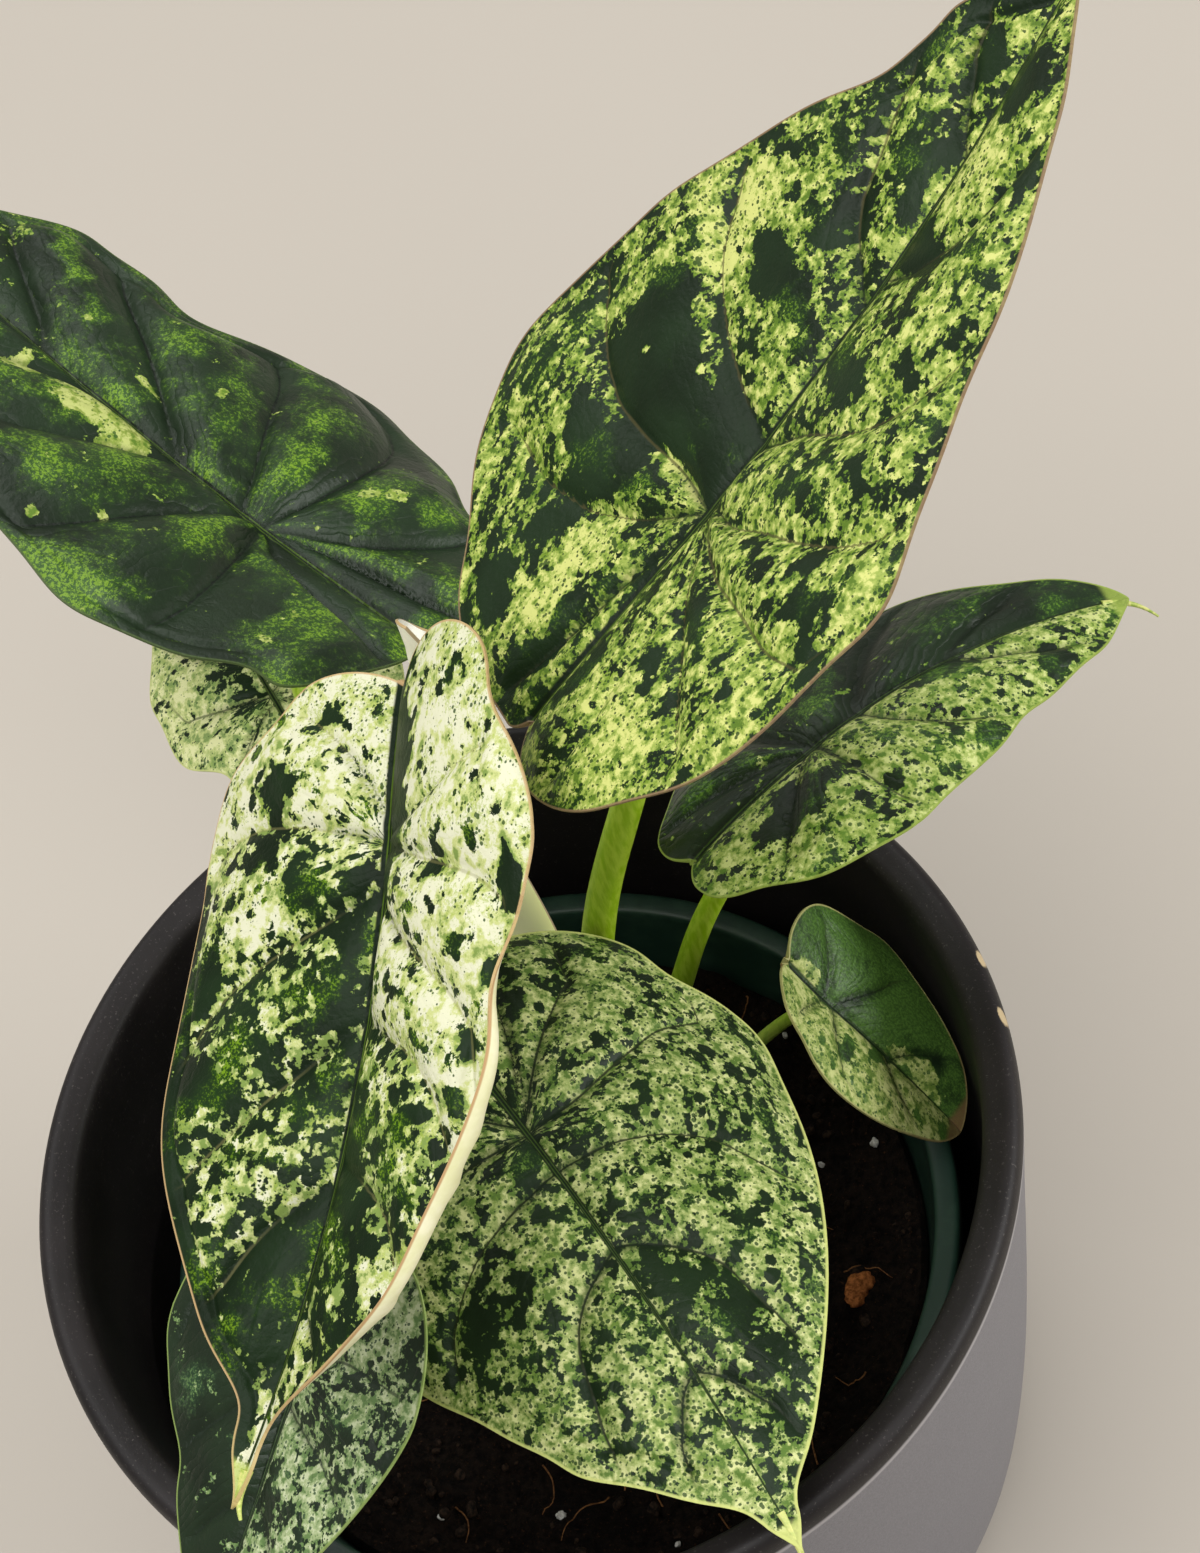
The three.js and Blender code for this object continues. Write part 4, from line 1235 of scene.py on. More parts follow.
# %% [markdown]
# ## The mottled finish
#
# The mottling of this plant comes from patches of cells without green. Seen close, there are
# five things at once: dark blots with sharp ragged edges, round dark spots, pale tissue that
# runs from green to mint to cream, tiny dark pinholes in the pale tissue, and a mossy green
# dust in the dark tissue. Most of them run along the side veins, so their noise is laid out
# in vein coordinates. Three sizes of noise are added up before the one threshold that parts
# dark from pale: that gives large blots with small ones between them.
#
# Each leaf has its own palette, and its own numbers where they differ from the usual ones:
#
# - `pale` is mid green, mint and cream. `glow` is the green of mossy panels and its bright
#   dust, and `speck` the colour of green specks in the pale tissue.
# - `moss`, `holes`, `spots`, `ribs` and `sheen` say how much there is of each.
# - `patches`, `blots` and `flecks` say how strong the large, middle and small mottling are.
# - `soft` is the size of the clouds in the pale tissue, and with more `drift` the paler
#   panels are creamier.
# - `vein` and `edge` colour the lines. `lines` says how strong the side veins are, `hem` how
#   wide the margin's line is, and `rib` is half the width of the midrib's dark band.
# - `tip` is how many millimetres of the tip are tinted, with `tip_tint` or else with `edge`.

# %% Leaf palettes
DARK_GREEN = paint(19, 32, 16)
SHADE_GREEN = paint(29, 46, 25)
USUAL_LOOK = dict(
    moss=0.4, holes=0.7, spots=0.05, ribs=0.3, sheen=0.3, patches=1.1, blots=2.4, flecks=1.3,
    soft=1.7, drift=0.1, lines=1.0, hem=0.42, rib=0.6, tip=2.0,
)
LEAF_LOOKS = {
    "back_right": dict(
        USUAL_LOOK, pale=(paint(86, 114, 36), paint(150, 168, 78), paint(202, 206, 122)),
        glow=(paint(34, 64, 22), paint(98, 128, 34)), speck=paint(122, 148, 44),
        vein=paint(70, 66, 38), edge=paint(136, 112, 84),
        moss=0.6, holes=1.0, spots=0.02, ribs=0.2, blots=2.7, flecks=1.5, soft=1.8, rib=0.7, tip=0.1,
    ),
    "back_left": dict(
        USUAL_LOOK, pale=(paint(88, 118, 34), paint(134, 150, 66), paint(176, 184, 108)),
        glow=(paint(50, 84, 25), paint(108, 142, 36)), speck=paint(122, 150, 46),
        vein=paint(11, 17, 12), edge=paint(66, 84, 40),
        moss=1.1, spots=-0.4, ribs=0.8, sheen=0.9, patches=0.9, blots=1.8, flecks=1.4, soft=1.6,
        drift=0.0, tip=0.1,
    ),
    "front_tall": dict(
        USUAL_LOOK, pale=(paint(122, 144, 72), paint(190, 197, 128), paint(214, 214, 184)),
        glow=(paint(36, 68, 16), paint(110, 144, 28)), speck=paint(152, 170, 66),
        vein=paint(126, 122, 76), edge=paint(188, 158, 112), tip_tint=paint(176, 190, 96),
        moss=0.8, holes=0.45, spots=0.22, ribs=0.2, sheen=0.0, blots=2.5, flecks=1.2, soft=2.2,
        drift=0.22, lines=0.5, rib=0.85, tip=6.0,
    ),
    "front_low": dict(
        USUAL_LOOK, pale=(paint(90, 118, 50), paint(158, 172, 102), paint(206, 210, 146)),
        glow=(paint(36, 66, 26), paint(96, 128, 48)), speck=paint(116, 142, 60),
        vein=paint(40, 48, 28), edge=paint(198, 204, 122),
        moss=0.5, holes=1.1, spots=0.08, patches=0.7, blots=2.5, lines=1.25, hem=0.7, rib=0.45, tip=4.0,
    ),
    "right": dict(
        USUAL_LOOK, pale=(paint(92, 126, 40), paint(164, 182, 94), paint(208, 216, 140)),
        glow=(paint(48, 82, 30), paint(96, 134, 42)), speck=paint(122, 150, 54),
        vein=paint(22, 34, 20), edge=paint(150, 170, 76),
        moss=0.9, holes=0.8, ribs=1.0, sheen=0.9, patches=0.9, blots=2.3, flecks=1.6, tip=3.0,
    ),
    "inside_pot": dict(
        USUAL_LOOK, pale=(paint(96, 122, 50), paint(156, 170, 94), paint(190, 196, 126)),
        glow=(paint(62, 92, 38), paint(78, 112, 46)), speck=paint(110, 134, 56),
        vein=paint(54, 70, 34), edge=paint(168, 164, 104), tip_tint=paint(120, 92, 62),
        moss=2.2, holes=0.9, spots=0.0, ribs=0.4, sheen=1.0, patches=0.7, blots=2.1, flecks=1.4,
        soft=1.5, drift=0.0, rib=0.3, tip=2.6,
    ),
    "behind_left": dict(
        USUAL_LOOK, pale=(paint(132, 156, 90), paint(194, 204, 132), paint(226, 228, 170)),
        glow=(paint(64, 94, 50), paint(118, 146, 66)), speck=paint(150, 174, 90),
        vein=paint(76, 88, 54), edge=paint(196, 202, 132), soft=1.8, rib=0.3,
    ),
    "front_left": dict(
        USUAL_LOOK, pale=(paint(98, 126, 72), paint(160, 176, 126), paint(196, 204, 164)),
        glow=(paint(44, 74, 46), paint(96, 126, 72)), speck=paint(122, 148, 86),
        vein=paint(30, 42, 30), edge=paint(136, 158, 84), ribs=0.9, sheen=1.0, flecks=1.6, rib=0.5,
    ),
}
print("Palettes:", len(LEAF_LOOKS))

# %% [markdown]
# Round spots need another pattern than clouds. A Voronoi node gives the distance to the
# nearest of many scattered points, and wherever that distance is under a size there is a
# round dot. When the size itself drifts, the dots differ, and in places there are none.


# %% Patterns on a blade
def attribute(start, name):
    return start.node("ShaderNodeAttribute", {"attribute_name": name}, output="Vector")


def stretched(place, sizes):
    """A place with each of its three directions stretched by its own amount."""
    return place.node("ShaderNodeVectorMath", {"operation": "MULTIPLY"}, {0: place, 1: sizes})


def flat_place(across, along):
    return across.node("ShaderNodeCombineXYZ", {}, {0: across, 1: along, 2: 0.0})


def round_holes(place, apart, size):
    """1 inside round dots that lie about that far apart, each with its own size."""
    settings = {"voronoi_dimensions": "2D"}
    far = place.node("ShaderNodeTexVoronoi", settings, {"Vector": place, "Scale": 1 / apart})
    return (size - far).rise(0.0, 0.05)


def to_side_vein(number, width):
    """How many millimetres it is to the nearest side vein."""
    return (number - number.math("ROUND")).math("ABSOLUTE") * width


print("Pattern helpers ready")

# %% [markdown]
# Both tissues are built from the inside out: a plain green first, then what glows or clouds
# over it, and the smallest marks last.

# %% Dark and pale tissue
PINHOLE_APART = 1.0


def dark_tissue(look, flow, level, number, dust):
    """Nearly black green that glows mossy in the middle of the panels, with bright dust there."""
    glow_green, dust_green = look["glow"]
    dark = clouds(flow, 14.0, 2.0).rise(0.3, 0.7).between(DARK_GREEN, SHADE_GREEN)
    panel_middle = (number * math.pi).math("SINE").math("ABSOLUTE")
    gather = clouds(flow, 9.0, 4.0, 0.6) + panel_middle * 0.22 + level * 0.08
    start_at = 0.80 - 0.22 * look["moss"]
    glow = gather.rise(start_at, start_at + 0.30)
    dark = (glow * 0.85).between(dark, glow_green)
    return ((dust + glow * 0.10).rise(0.56, 0.65) * glow).between(dark, dust_green)


def pale_tissue(look, plain, level, pale, dust):
    """Soft clouds of green, mint and cream, with specks and round dark pinholes in groups."""
    green, mint, cream = look["pale"]
    group = clouds(plain, 6.0, 2.0)
    tone = clouds(plain, look["soft"], 4.0, 0.62) + (level - 0.8) * 0.08 + (pale - 0.7) * look["drift"]
    colour = tone.rise(0.38, 0.49).between(green, mint)
    colour = tone.rise(0.49, 0.59).between(colour, cream)
    specks = (dust + (group - 0.5) * 0.7).rise(0.56, 0.64)
    colour = (specks * 0.6).between(colour, look["speck"])
    size = (group - 0.5) * 0.8 + (clouds(plain, 1.7, 1.0) - 0.5) * 1.0 + 0.18 * look["holes"]
    holes = round_holes(plain, PINHOLE_APART, size + (dust - 0.5) * 0.25)
    return (holes * 0.88).between(colour, look["glow"][0])


print("Pinholes lie about", PINHOLE_APART, "mm apart")

# %% [markdown]
# Over the tissue lie the lines: a dark band on the midrib with two bright hairs in it, one on
# each side of its middle, then the side veins, the tinted tip and the thin line of the margin.


# %% Veins, tip and margin
def with_veins(name, colour, blade, veins):
    """Lays the midrib, the side veins, the tip and the margin's line over a blade's colour."""
    look, length = LEAF_LOOKS[name], LEAVES[name]["length"]
    s, x, inset = blade.parts()
    number, width, _ = veins.parts()
    off_midrib, off_side_vein = x.math("ABSOLUTE"), to_side_vein(number, width)
    inland = inset.rise(1.0, 6.0)
    beside = (1 - off_side_vein.rise(0.3, 1.6)) * (1 - off_midrib.rise(3.0, 18.0)) * inland
    colour = (beside * 0.5 * look["lines"]).between(colour, DARK_GREEN)
    vein = off_midrib.rise(5.0, 14.0).between(DARK_GREEN, look["vein"])
    line = (1 - off_side_vein.rise(0.10, 0.34)) * inland
    colour = (line * 0.75 * look["lines"]).between(colour, vein)
    off_rib = off_midrib / (1 - s / length).math("MAXIMUM", 0.22)
    colour = (1 - off_rib.rise(look["rib"], look["rib"] + 0.35)).between(colour, DARK_GREEN)
    hair = off_rib.rise(0.10, 0.22) * (1 - off_rib.rise(0.28, 0.42))
    colour = (hair * 0.35).between(colour, look["glow"][1])
    tint = look.get("tip_tint", look["edge"])
    at_tip = s.rise(length - look["tip"] - 1.5, length - look["tip"])
    colour = (at_tip * 0.8).between(colour, tint)
    edge = (s.rise(length - 16.0, length - 8.0) * (1 - look["rib"])).between(look["edge"], tint)
    return ((1 - inset.rise(0.4 * look["hem"], look["hem"])) * 0.9).between(colour, edge)


print("Midrib bands:", {name: look["rib"] for name, look in LEAF_LOOKS.items()})

# %% [markdown]
# Now the parts come together. `flow` is drawn out along the veins, and `plain` is the blade
# laid flat. Each leaf shifts both by its own seed, so that no two leaves share a pattern.

# %% The whole mottled finish
PATCH_SIZE = 6.5
BLOT_SIZE = 2.7
FLECK_SIZE = 1.0
DUST_SIZE = 0.5
SPOTS_APART = 3.2
SPOT_STRETCH = 0.7
PALE_FROM = 0.46


def mottle_level(look, flow, plain, pale, dust):
    """How pale each place is: the map's paleness and three sizes of noise, less the spots."""
    patches = (clouds(flow, PATCH_SIZE, 2.0) - 0.5) * look["patches"]
    blots = (clouds(flow, BLOT_SIZE, 3.0, 0.55) - 0.5) * look["blots"]
    flecks = (clouds(plain, FLECK_SIZE, 3.0, 0.65) - 0.5) * look["flecks"]
    across, reach, half = flow.parts()
    size = (clouds(flow, 4.0, 1.0) - 0.5) * 1.5 + (dust - 0.5) * 0.5 + look["spots"]
    spots = round_holes(flat_place(across + half, reach * SPOT_STRETCH), SPOTS_APART, size)
    return pale + patches + blots + flecks - spots * 0.6


def fine_relief(look, flow, plain, number, width):
    """The height of the finest veins, which run beside the side veins, and of the grain."""
    wave = number * 22.0 + clouds(flow, 6.0, 2.0) * 7.0
    veinlets = wave.math("SINE").math("ABSOLUTE").math("SQRT") * width.rise(3.0, 9.0)
    return veinlets * (0.1 + 0.5 * look["ribs"]) + clouds(plain, 1.2, 4.0, 0.6) * 0.8


def mottled(name, seed):
    look = LEAF_LOOKS[name]
    material, shader, start = new_material("blade_" + name)
    blade, veins = attribute(start, "blade"), attribute(start, "veins")
    number, width, pale = veins.parts()
    flow = attribute(start, "flow") + (seed, 0.0, seed)
    plain = stretched(blade, (1.0, 1.0, 0.0)) + (0.0, seed, seed)
    dust = clouds(plain, DUST_SIZE, 3.0, 0.75)
    level = mottle_level(look, flow, plain, pale, dust)
    is_pale = level.rise(PALE_FROM, PALE_FROM + 0.04)
    green_rim = level.rise(PALE_FROM - 0.05, PALE_FROM - 0.02)
    dark = dark_tissue(look, flow, level, number, dust)
    colour = (green_rim * 0.8).between(dark, look["pale"][0])
    colour = is_pale.between(colour, pale_tissue(look, plain, level, pale, dust))
    colour = with_veins(name, colour, blade, veins)
    lay_on(shader, colour, 0.34 + is_pale * 0.08 + dust * 0.12, 0.09 + 0.20 * look["sheen"])
    bump(fine_relief(look, flow, plain, number, width), 0.6, 0.0004, shader)
    return material


print("Dark turns pale at", PALE_FROM)

# %% [markdown]
# A blade's back is matt and paler, because less green shows through it, and its veins stand
# out light. Solidify gives the back its own material. The leaf whose margin rolls over shows
# a strip of its back from above, so that one leaf has a broad cream border there.


# %% Underside
def underside(name, cream_border):
    material, shader, start = new_material(name)
    blade, veins = attribute(start, "blade"), attribute(start, "veins")
    _, x, inset = blade.parts()
    number, width, pale = veins.parts()
    cloud = clouds(blade, 5.0, 5.0, 0.6)
    tissue = (cloud * 0.6 + pale * 0.4).rise(0.3, 0.8)
    body = tissue.between(paint(96, 122, 74), paint(206, 214, 156))
    vein = (1 - to_side_vein(number, width).rise(0.3, 0.9)) * inset.rise(1.0, 6.0)
    line = vein.math("MAXIMUM", 1 - x.math("ABSOLUTE").rise(0.9, 1.7))
    body = (line * 0.7).between(body, paint(168, 180, 112))
    cream = cloud.rise(0.3, 0.7).between(paint(208, 206, 158), paint(222, 218, 184))
    border = (1 - inset.rise(4.4, 6.5)) * pale.rise(0.1, 0.3) * cream_border
    body = (1 - inset.rise(0.25, 0.5)).between(border.between(body, cream), paint(176, 142, 98))
    lay_on(shader, body, 0.55 + cloud * 0.15, gloss=0.3)
    bump(clouds(blade, 0.8, 3.0), 0.2, 0.0003, shader)
    return material


LEAF_BACK = underside("blade_underside", 0.15)
ROLLED_BACK = underside("blade_underside_rolled", 1.0)
print("Undersides ready")

# %% [markdown]
# Everything for a blade is ready, so one loop grows all eight. The seeds are further apart
# than one patch of the mottling is wide.

# %% Grow the eight blades
SEED_STEP = 7.3
LEAF_SLOTS = {"back_left": "dark_leaf", "front_left": "dark_leaf", "front_tall": "cream_leaf"}
for count, (name, leaf) in enumerate(LEAVES.items()):
    finishes = [mottled(name, SEED_STEP * count), ROLLED_BACK if leaf["rolls"] else LEAF_BACK]
    slot = LEAF_SLOTS.get(name, "mint_leaf")
    dress(blade_mesh(leaf, finishes), "blade_" + name, slot, [], "leaf_" + name)

# %% [markdown]
# ## Leaf stalks
#
# A stalk is a tapering round stem. A Blender curve with a bevel is the natural way: a line
# through the points, a radius at each point, and the tube follows. It is turned into a mesh
# at the end, so that it can be exported. The line is worked out as a smooth curve through
# the stalk's own way points, the same curve that the solid uses.

# %% Curves through points
POINTS_BETWEEN = 40


def smooth_way(points, count):
    """Evenly spaced points on the centripetal Catmull-Rom curve through the given ones."""
    pts = [np.array(p, float) for p in points]
    pts = [2 * pts[0] - pts[1], *pts, 2 * pts[-1] - pts[-2]]
    dense = []
    for a, b, c, d in zip(pts, pts[1:], pts[2:], pts[3:]):
        gaps = [math.sqrt(np.linalg.norm(q - p)) for p, q in ((a, b), (b, c), (c, d))]
        enter = ((b - a) / gaps[0] - (c - a) / (gaps[0] + gaps[1]) + (c - b) / gaps[1]) * gaps[1]
        leave = ((c - b) / gaps[1] - (d - b) / (gaps[1] + gaps[2]) + (d - c) / gaps[2]) * gaps[1]
        for t in np.linspace(0, 1, POINTS_BETWEEN, endpoint=False):
            cubic = 2 * b - 2 * c + enter + leave
            square = -3 * b + 3 * c - 2 * enter - leave
            dense.append(cubic * t**3 + square * t**2 + enter * t + b)
    dense = np.array([*dense, pts[-2]])
    lengths = np.concatenate([[0], np.cumsum(np.linalg.norm(np.diff(dense, axis=0), axis=1))])
    at = np.linspace(0, lengths[-1], count)
    return np.stack([np.interp(at, lengths, dense[:, axis]) for axis in range(3)], -1)


def stem(way, radii, sides=24):
    """A round stem in millimetres, as a bevelled curve turned into a mesh."""
    clear_selection()
    bpy.ops.curve.primitive_nurbs_path_add()
    line = bpy.context.object
    line.data.splines.clear()
    spline = line.data.splines.new("POLY")
    spline.points.add(len(way) - 1)
    for point, place, radius in zip(spline.points, way, radii):
        point.co = (*(place * MM), 1)
        point.radius = radius * MM
    line.data.dimensions = "3D"
    line.data.bevel_depth = 1.0
    line.data.bevel_resolution = sides // 4 - 1
    line.data.use_fill_caps = True
    bpy.ops.object.convert(target="MESH")
    return bpy.context.object


def mixed(pair, share):
    """The pair's first value where share is 0, and its second where share is 1."""
    first, second = pair
    return first + (second - first) * share


print("A way from (0, 0) to (3, 4) is halfway at", smooth_way(((0, 0, 0), (3, 4, 0)), 3)[1])

# %% [markdown]
# The stalks are a bright yellow green, drawn out in long streaks, and duller down in the pot.
# A stalk flares a little where it leaves the rhizome, and ends right under its blade.

# %% Model and finish the stalks
CROWN_TOP = 80.3
STALK_POINTS = 48
UNDER_BLADE = 1.7
FOOT_FLARE = 0.5
STREAK_SQUEEZE = (1.0, 1.0, 0.12)
DULL_UP_TO = (80.0, 120.0)


def stalk_green():
    material, shader, start = new_material("stalk_green")
    place = in_millimetres(start)
    streaks = clouds(stretched(place, STREAK_SQUEEZE), 0.9, 4.0, 0.6)
    _, _, height = place.parts()
    body = streaks.rise(0.35, 0.65).between(paint(150, 190, 14), paint(182, 212, 60))
    dull = (1 - height.rise(*DULL_UP_TO)) * 0.6
    lay_on(shader, dull.between(body, paint(176, 186, 120)), 0.36 + streaks * 0.14)
    bump(streaks, 0.25, 0.0003, shader)
    return material


def stalk(leaf):
    _, _, up = blade_frame(leaf, np.array([0.0]))
    under = np.array(leaf["junction"]) - up[0] * (BLADE_DEPTH + UNDER_BLADE)
    way = smooth_way([(*leaf["stalk_base"], CROWN_TOP), *leaf["stalk_way"], under], STALK_POINTS)
    share = np.linspace(0, 1, STALK_POINTS)
    return stem(way, mixed(leaf["stalk_radius"], share) + FOOT_FLARE * np.exp(-share / 0.1))


STALK_FINISH = stalk_green()
for name, leaf in LEAVES.items():
    piece = stalk(leaf)
    smooth(piece, 60)
    dress(piece, "stalk_" + name, "green_stalk", [STALK_FINISH], "petiole_" + name)

# %% [markdown]
# ## The young leaf
#
# The newest leaf is still rolled up like a sheet of paper, with its pale back outside and
# one free edge running down it. A grid is wound round the stem's line with a radius that
# grows a little on the way, so its outer edge lies over the inner one. Near the top it
# unwinds and flares into an open mouth, which slants because one side of it is drawn down.

# %% Model the young leaf
YOUNG_WAY = (
    (7.2, 16.6, 80.3), (9.2, 25.4, 100), (12.8, 35.5, 122), (14, 40, 160), (16, 38.6, 208),
    (18.8, 37.6, 224.4),
)
YOUNG_RADII = ((0, 3.4), (0.2, 4), (0.33, 5.2), (0.45, 3.2), (0.8, 2.9), (0.93, 3.5), (1, 5.3))
YOUNG_ROWS = 150
YOUNG_COLUMNS = 80
YOUNG_POINTS = 400
YOUNG_DEPTH = 0.45
# each pair is the value along the roll and the value at the mouth
YOUNG_TURNS = (1.35, 0.70)
EDGE_TURN = (math.radians(150), math.radians(24))
OPENS_FROM = 0.85
MOUTH_SLANT = 0.042
MOUTH_HIGH = math.radians(40)
# radius of the sheet's inner edge, and of its outer edge, as shares of the roll's radius
WOUND = (0.80, 0.98)
# turns are counted from the way that is square to this one and to the roll
TURNS_START = (0.3, -0.9, 0.2)


def roll_axes():
    """The young leaf's line, with two directions square to it at each of its points."""
    way = smooth_way(YOUNG_WAY, YOUNG_POINTS)
    tangent = np.gradient(way, axis=0)
    tangent /= np.linalg.norm(tangent, axis=1)[:, None]
    toward = np.cross(TURNS_START, tangent)
    toward /= np.linalg.norm(toward, axis=1)[:, None]
    return way, toward, np.cross(tangent, toward)


def at_rows(values, row):
    """The values of a line's points, read between them."""
    points = np.arange(len(values))
    return np.stack([np.interp(row, points, values[:, axis]) for axis in range(3)], -1)


def wound_places(across, along):
    """Where the flat sheet's points lie once it is wound up."""
    opening = np.clip((along - OPENS_FROM) / (1 - OPENS_FROM), 0, 1)
    turn = mixed(EDGE_TURN, opening) - 2 * math.pi * mixed(YOUNG_TURNS, opening) * (1 - across)
    up_to = along * (1 - MOUTH_SLANT * opening * (1 - np.cos(turn - MOUTH_HIGH)))
    row = up_to * (YOUNG_POINTS - 1)
    middle, left, front = (at_rows(values, row) for values in roll_axes())
    radius = np.interp(up_to, *zip(*YOUNG_RADII)) * mixed(WOUND, across)
    return middle + left * (radius * np.cos(turn))[:, None] + front * (radius * np.sin(turn))[:, None]


young_leaf, across, along = flat_grid(YOUNG_COLUMNS, YOUNG_ROWS)
lay_out(young_leaf, wound_places(across, along), {"roll": (across, along, 0 * across)})
print("Young leaf ends", round(max(v.co.z for v in young_leaf.data.vertices), 4), "m up")

# %% [markdown]
# The rolled tissue is cream, greener towards its foot, with a thin brown line along its free
# edge and round the mouth. The inside is whiter, so Solidify gives it a second material. Thin
# pale tissue lets light through, and a faint glow of its own stands in for that.

# %% Finish the young leaf
TISSUE_GLOW = 0.14
STREAKS_ROUND = 26.0
STREAKS_ALONG = 22.0
LIP = (0.9978, 0.9986)
FREE_EDGE = (0.980, 0.987)


def sheath(name, red, green, blue):
    material, shader, start = new_material(name)
    around, along, _ = attribute(start, "roll").parts()
    streaks = clouds(flat_place(around * STREAKS_ROUND, along * STREAKS_ALONG), 1.4, 5.0, 0.6)
    cream, shade = paint(red, green, blue), paint(red - 12, green - 10, blue - 14)
    body = streaks.rise(0.35, 0.7).between(shade, cream)
    body = (1 - along.rise(0.35, 0.75)).between(body, paint(238, 240, 140))
    edge = around.rise(*FREE_EDGE).math("MAXIMUM", along.rise(*LIP))
    lay_on(shader, edge.between(body, paint(158, 126, 66)), 0.42 + streaks * 0.12)
    bump(streaks, 0.2, 0.0003, shader)
    shader.inputs["Emission Color"].default_value = cream
    shader.inputs["Emission Strength"].default_value = TISSUE_GLOW
    return material


coat(young_leaf, [sheath("young_leaf_outside", 250, 246, 224), sheath("young_leaf_inside", 254, 252, 246)])
apply_modifier(
    young_leaf, "SOLIDIFY", thickness=YOUNG_DEPTH * MM, offset=0, material_offset=1, use_rim=True,
)
smooth(young_leaf, 60)
dress(young_leaf, "young_leaf_scroll", "cream_leaf", [], "young_leaf_rolled")

# %% [markdown]
# ## Drip tips
#
# The blade of a leaf ends in a thin hooked point, which lets rain run off. It is too thin for
# the grid, so it is a little tapering stem of its own that goes on from the midrib and bends
# to one side.

# %% Add the drip tips
TIP_POINTS = 16
TIP_SIDES = 16
DRIP_TIPS = {
    # leaf: starts before the blade's end, runs past it, bends to the left, start radius, colour
    "right": (5.0, 4.0, -4.0, 0.75, paint(150, 176, 70)),
    "front_low": (7.0, 5.0, -1.5, 0.85, paint(186, 198, 108)),
    "front_tall": (6.0, 1.0, 1.8, 1.0, paint(168, 188, 84)),
    "front_left": (4.0, 2.5, 1.0, 0.6, paint(136, 158, 84)),
    "behind_left": (4.0, 2.5, 1.0, 0.6, paint(196, 202, 132)),
}


def tip_green(name, green):
    material, shader, start = new_material("tip_" + name)
    streaks = clouds(in_millimetres(start), 0.9, 3.0)
    body = streaks.rise(0.35, 0.65).between(green, paint(214, 214, 128))
    lay_on(shader, body, 0.36 + streaks * 0.14)
    return material


for name, (back, past, bend, radius, green) in DRIP_TIPS.items():
    leaf = LEAVES[name]
    share = np.linspace(0, 1, TIP_POINTS)
    s = leaf["length"] - back + (back + past) * share
    _, left, up = blade_frame(leaf, s)
    lower = up * (0.45 + 0.5 * share)[:, None]
    way = midrib_points(leaf, s) + left * (bend * share**3)[:, None] - lower
    tip = stem(way, radius * (1 - 0.75 * share), TIP_SIDES)
    smooth(tip, 60)
    dress(tip, "tip_" + name, "green_stalk", [tip_green(name, green)])

# %% [markdown]
# ## What lies on the soil
#
# Bare peat looks flat. A few hundred crumbs, some white perlite, loose fibres and a chip of
# bark give the eye something to measure by. One crumb is modelled as a rounded lump that
# noise has dented, then copied with its own mesh, turned and resized for each place. The
# places are drawn with a fixed seed, so the scene comes out the same each time.

# %% Tools for the litter
SCATTER = np.random.default_rng(41)
LITTER_EDGE = 60.0
DENT_DEPTH = 0.42


def lump(size, dents, fineness):
    """A dented lump about its own size across, sitting at the origin."""
    clear_selection()
    bpy.ops.mesh.primitive_ico_sphere_add(subdivisions=fineness, radius=0.5)
    piece = bpy.context.object
    for vertex in piece.data.vertices:
        dent = noise.fractal(vertex.co * 2.2 + Vector((dents, 0, 0)), 0.8, 2.0, 3)
        vertex.co *= size * MM * (1 + DENT_DEPTH * dent)
    return piece


def scattered(source, place, turn, sizes, sink):
    """A copy of the source's mesh, turned, resized and laid on the soil."""
    piece = source.copy()
    piece.data = source.data.copy()
    bpy.context.collection.objects.link(piece)
    x, y = place
    spot = Vector((x, y, soil_height(x, y) + sink)) * MM
    resize = Matrix.Diagonal((*sizes, 1))
    piece.data.transform(Matrix.Translation(spot) @ turn.to_matrix().to_4x4() @ resize)
    return piece


def gathered(pieces, name, material, source=None):
    """Joins the copies into one piece. The lump that they were copied from goes."""
    if source:
        bpy.data.objects.remove(source)
    pick(*pieces)
    bpy.ops.object.join()
    piece = bpy.context.object
    smooth(piece, 70)
    return dress(piece, name, "potting_soil", [material])


def random_place():
    """A place on the soil. The root spreads the places evenly over the round."""
    radius, angle = LITTER_EDGE * math.sqrt(SCATTER.random()), SCATTER.uniform(0, 2 * math.pi)
    return radius * math.cos(angle), radius * math.sin(angle)


def random_turn():
    return Euler(SCATTER.uniform(0, 2 * math.pi, 3))


def speckled(name, low, high, roughness):
    material, shader, start = new_material(name)
    grain = clouds(in_millimetres(start), 0.9, 4.0, 0.7)
    lay_on(shader, grain.rise(0.35, 0.65).between(low, high), roughness - grain * 0.15, gloss=0.15)
    bump(grain, 0.6, 0.0004, shader)
    return material


print("Litter tools ready")

# %% [markdown]
# The crumbs fall anywhere, most of them small. The perlite is so pale that the eye goes to
# it, so each of its grains has its own place.

# %% Scatter crumbs and perlite
CRUMBS = 420
PERLITE = (
    (49.2, 28.1), (46.9, 2.0), (-35.9, -36.2), (-16.3, -44.0), (28.5, 27.5), (57.0, 2.0),
    (1.0, -56.0), (-35.0, 44.0),
)

crumb_brown = speckled("crumb_brown", paint(10, 8, 6), paint(54, 40, 29), 0.95)
perlite_white = speckled("perlite_white", paint(170, 166, 156), paint(226, 224, 216), 0.9)

crumb = lump(1.0, 3.0, 2)
crumbs = []
for _ in range(CRUMBS):
    place = random_place()
    size = 0.9 + 2.4 * SCATTER.random() ** 3
    crumbs.append(scattered(crumb, place, random_turn(), (size, size * 0.8, size * 0.6), 0.1))
gathered(crumbs, "peat_crumbs", crumb_brown, crumb)

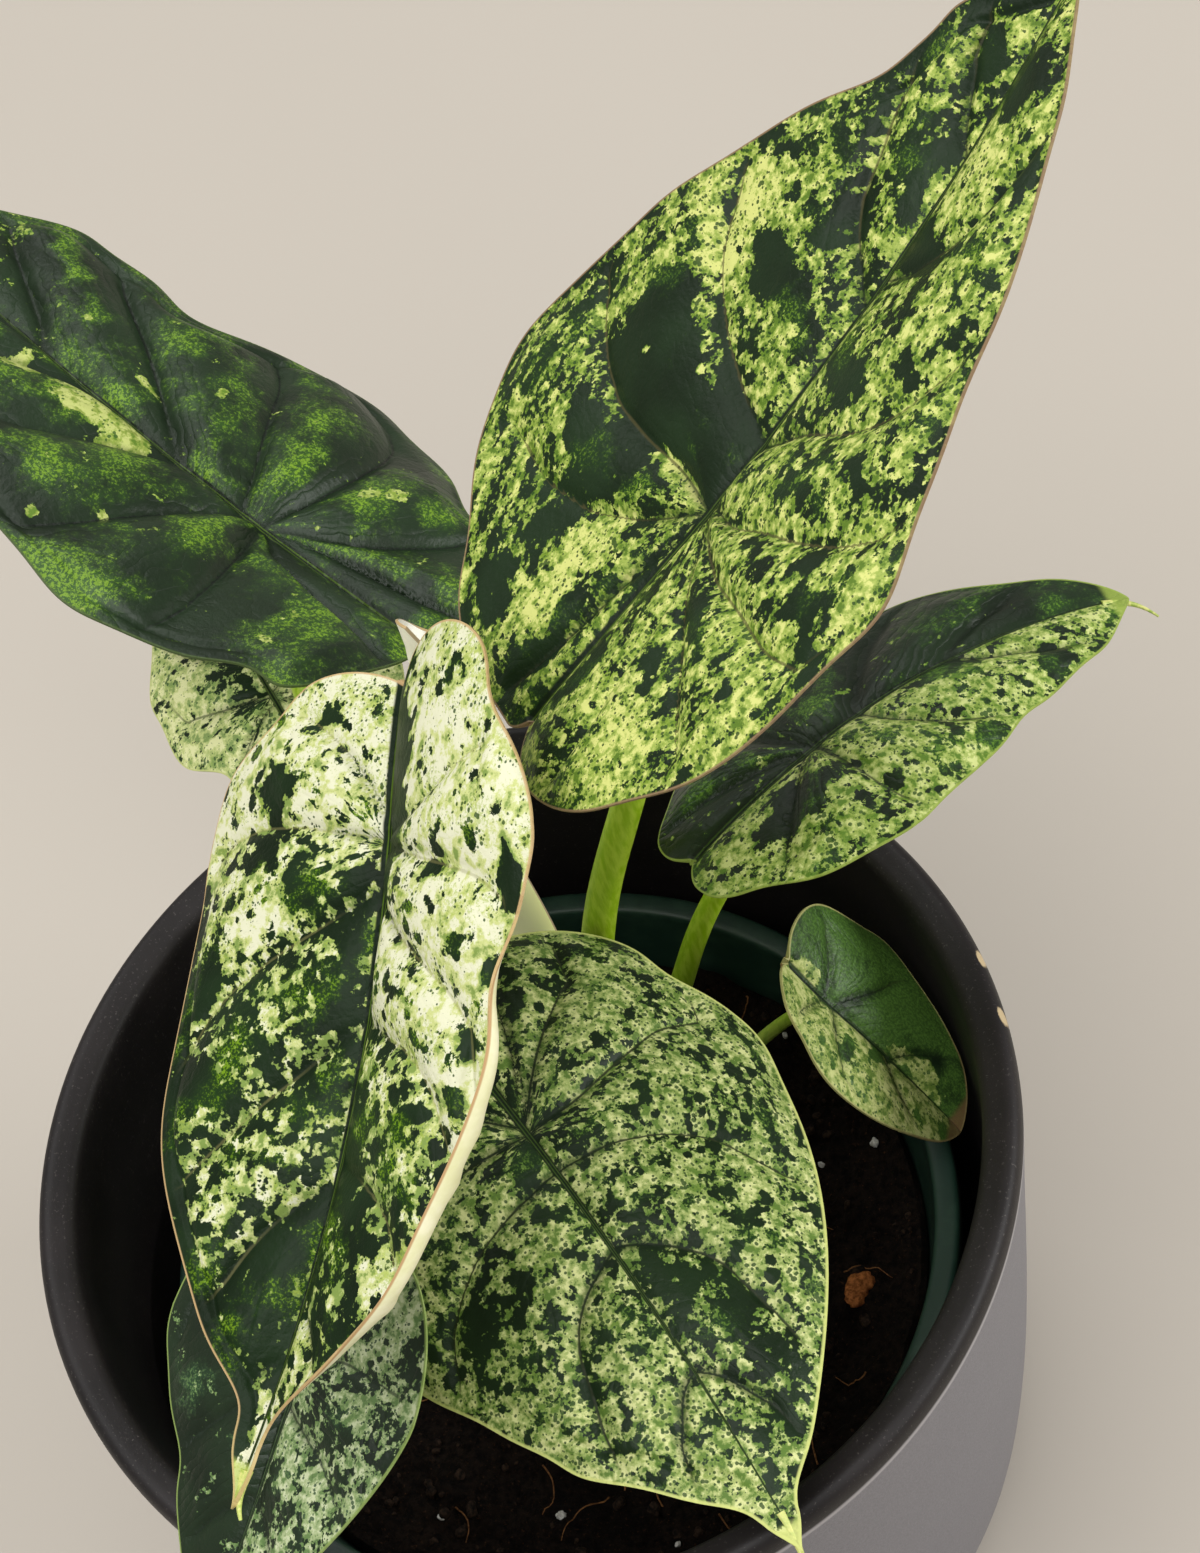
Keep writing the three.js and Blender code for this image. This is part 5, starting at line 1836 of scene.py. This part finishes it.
grain = lump(2.1, 11.0, 3)
grains = []
for place in PERLITE:
    size = SCATTER.uniform(0.5, 1.0)
    grains.append(scattered(grain, place, random_turn(), (size, size, size * 0.8), 0.3))
gathered(grains, "perlite_grains", perlite_white, grain)

# %% [markdown]
# A fibre is a very thin stem, bowed a little to one side, that follows the height of the soil
# under it. The chip of bark is one more lump, drawn out and laid where the photograph has it.

# %% Lay the fibres and the chip of bark
FIBRES = 46
FIBRE_POINTS = 12
FIBRE_SIDES = 8
FIBRE_LENGTHS = (4, 13)
MOST_BOW = 0.35
BARK_PLACE = (45.0, -23.6)
BARK_TURN = Euler((0.5, 0.35, 0.75))
BARK_SIZE = (7.6, 4.2, 2.4)

fibres = []
for _ in range(FIBRES):
    middle_x, middle_y = random_place()
    heading, long = SCATTER.uniform(0, 2 * math.pi), SCATTER.uniform(*FIBRE_LENGTHS)
    bow = SCATTER.uniform(-MOST_BOW, MOST_BOW) * long
    share = np.linspace(0, 1, FIBRE_POINTS)
    along, aside = (share - 0.5) * long, bow * np.sin(math.pi * share)
    x = middle_x + along * math.cos(heading) - aside * math.sin(heading)
    y = middle_y + along * math.sin(heading) + aside * math.cos(heading)
    inside = np.minimum(1, LITTER_EDGE / np.hypot(x, y))
    x, y = x * inside, y * inside
    z = [soil_height(*spot) + 0.5 for spot in zip(x, y)]
    fibres.append(stem(np.stack([x, y, z], -1), mixed((0.16, 0.08), share), FIBRE_SIDES))
fibre_brown = speckled("fibre_brown", paint(92, 60, 34), paint(150, 104, 62), 0.8)
gathered(fibres, "loose_fibres", fibre_brown)

chip = lump(1.0, 23.0, 3)
bark = scattered(chip, BARK_PLACE, BARK_TURN, BARK_SIZE, 1.0)
bark_orange = speckled("bark_orange", paint(112, 64, 28), paint(188, 116, 62), 0.85)
gathered([bark], "bark_chip", bark_orange, chip)
print("Litter scattered over", LITTER_EDGE, "mm")

# %% [markdown]
# ## The rhizome
#
# All stalks rise from a short knobbly stem, half in the soil. It is turned like the pots and
# then roughened, with a few rings where old leaves were.

# %% Model and finish the rhizome
CROWN = Vector((8, 15, 0))
RHIZOME_PROFILE = [
    (0, 54), (8.4, 54), (12, 57), (13.6, 62), (14, 68), (13.8, 74), (13.9, 78), (13.1, 79.6),
    (9, 80), (0, 80),
]
KNOB_HEIGHT = 0.3
RING_HEIGHT = 0.15
CLEAR_OF_AXIS = 4.0


def corm():
    material, shader, start = new_material("rhizome_bark")
    skin = clouds(in_millimetres(start), 2.4, 5.0, 0.65)
    body = skin.rise(0.3, 0.7).between(paint(62, 48, 28), paint(120, 104, 62))
    lay_on(shader, body, 0.75 + skin * 0.2)
    bump(skin, 0.8, 0.001, shader)
    return material


rhizome = turned(RHIZOME_PROFILE, 40)
apply_modifier(rhizome, "SUBSURF", levels=1, render_levels=1)
for vertex in rhizome.data.vertices:
    place = vertex.co / MM
    swell = KNOB_HEIGHT * noise.noise(place * 0.35) + RING_HEIGHT * math.sin(place.z * 2.2)
    out = Vector((vertex.co.x, vertex.co.y, 0))
    if out.length > CLEAR_OF_AXIS * MM:
        vertex.co += out.normalized() * swell * MM
    vertex.co += CROWN * MM
smooth(rhizome, 50)
dress(rhizome, "knobbly_rhizome", "rhizome_skin", [corm()], "rhizome")
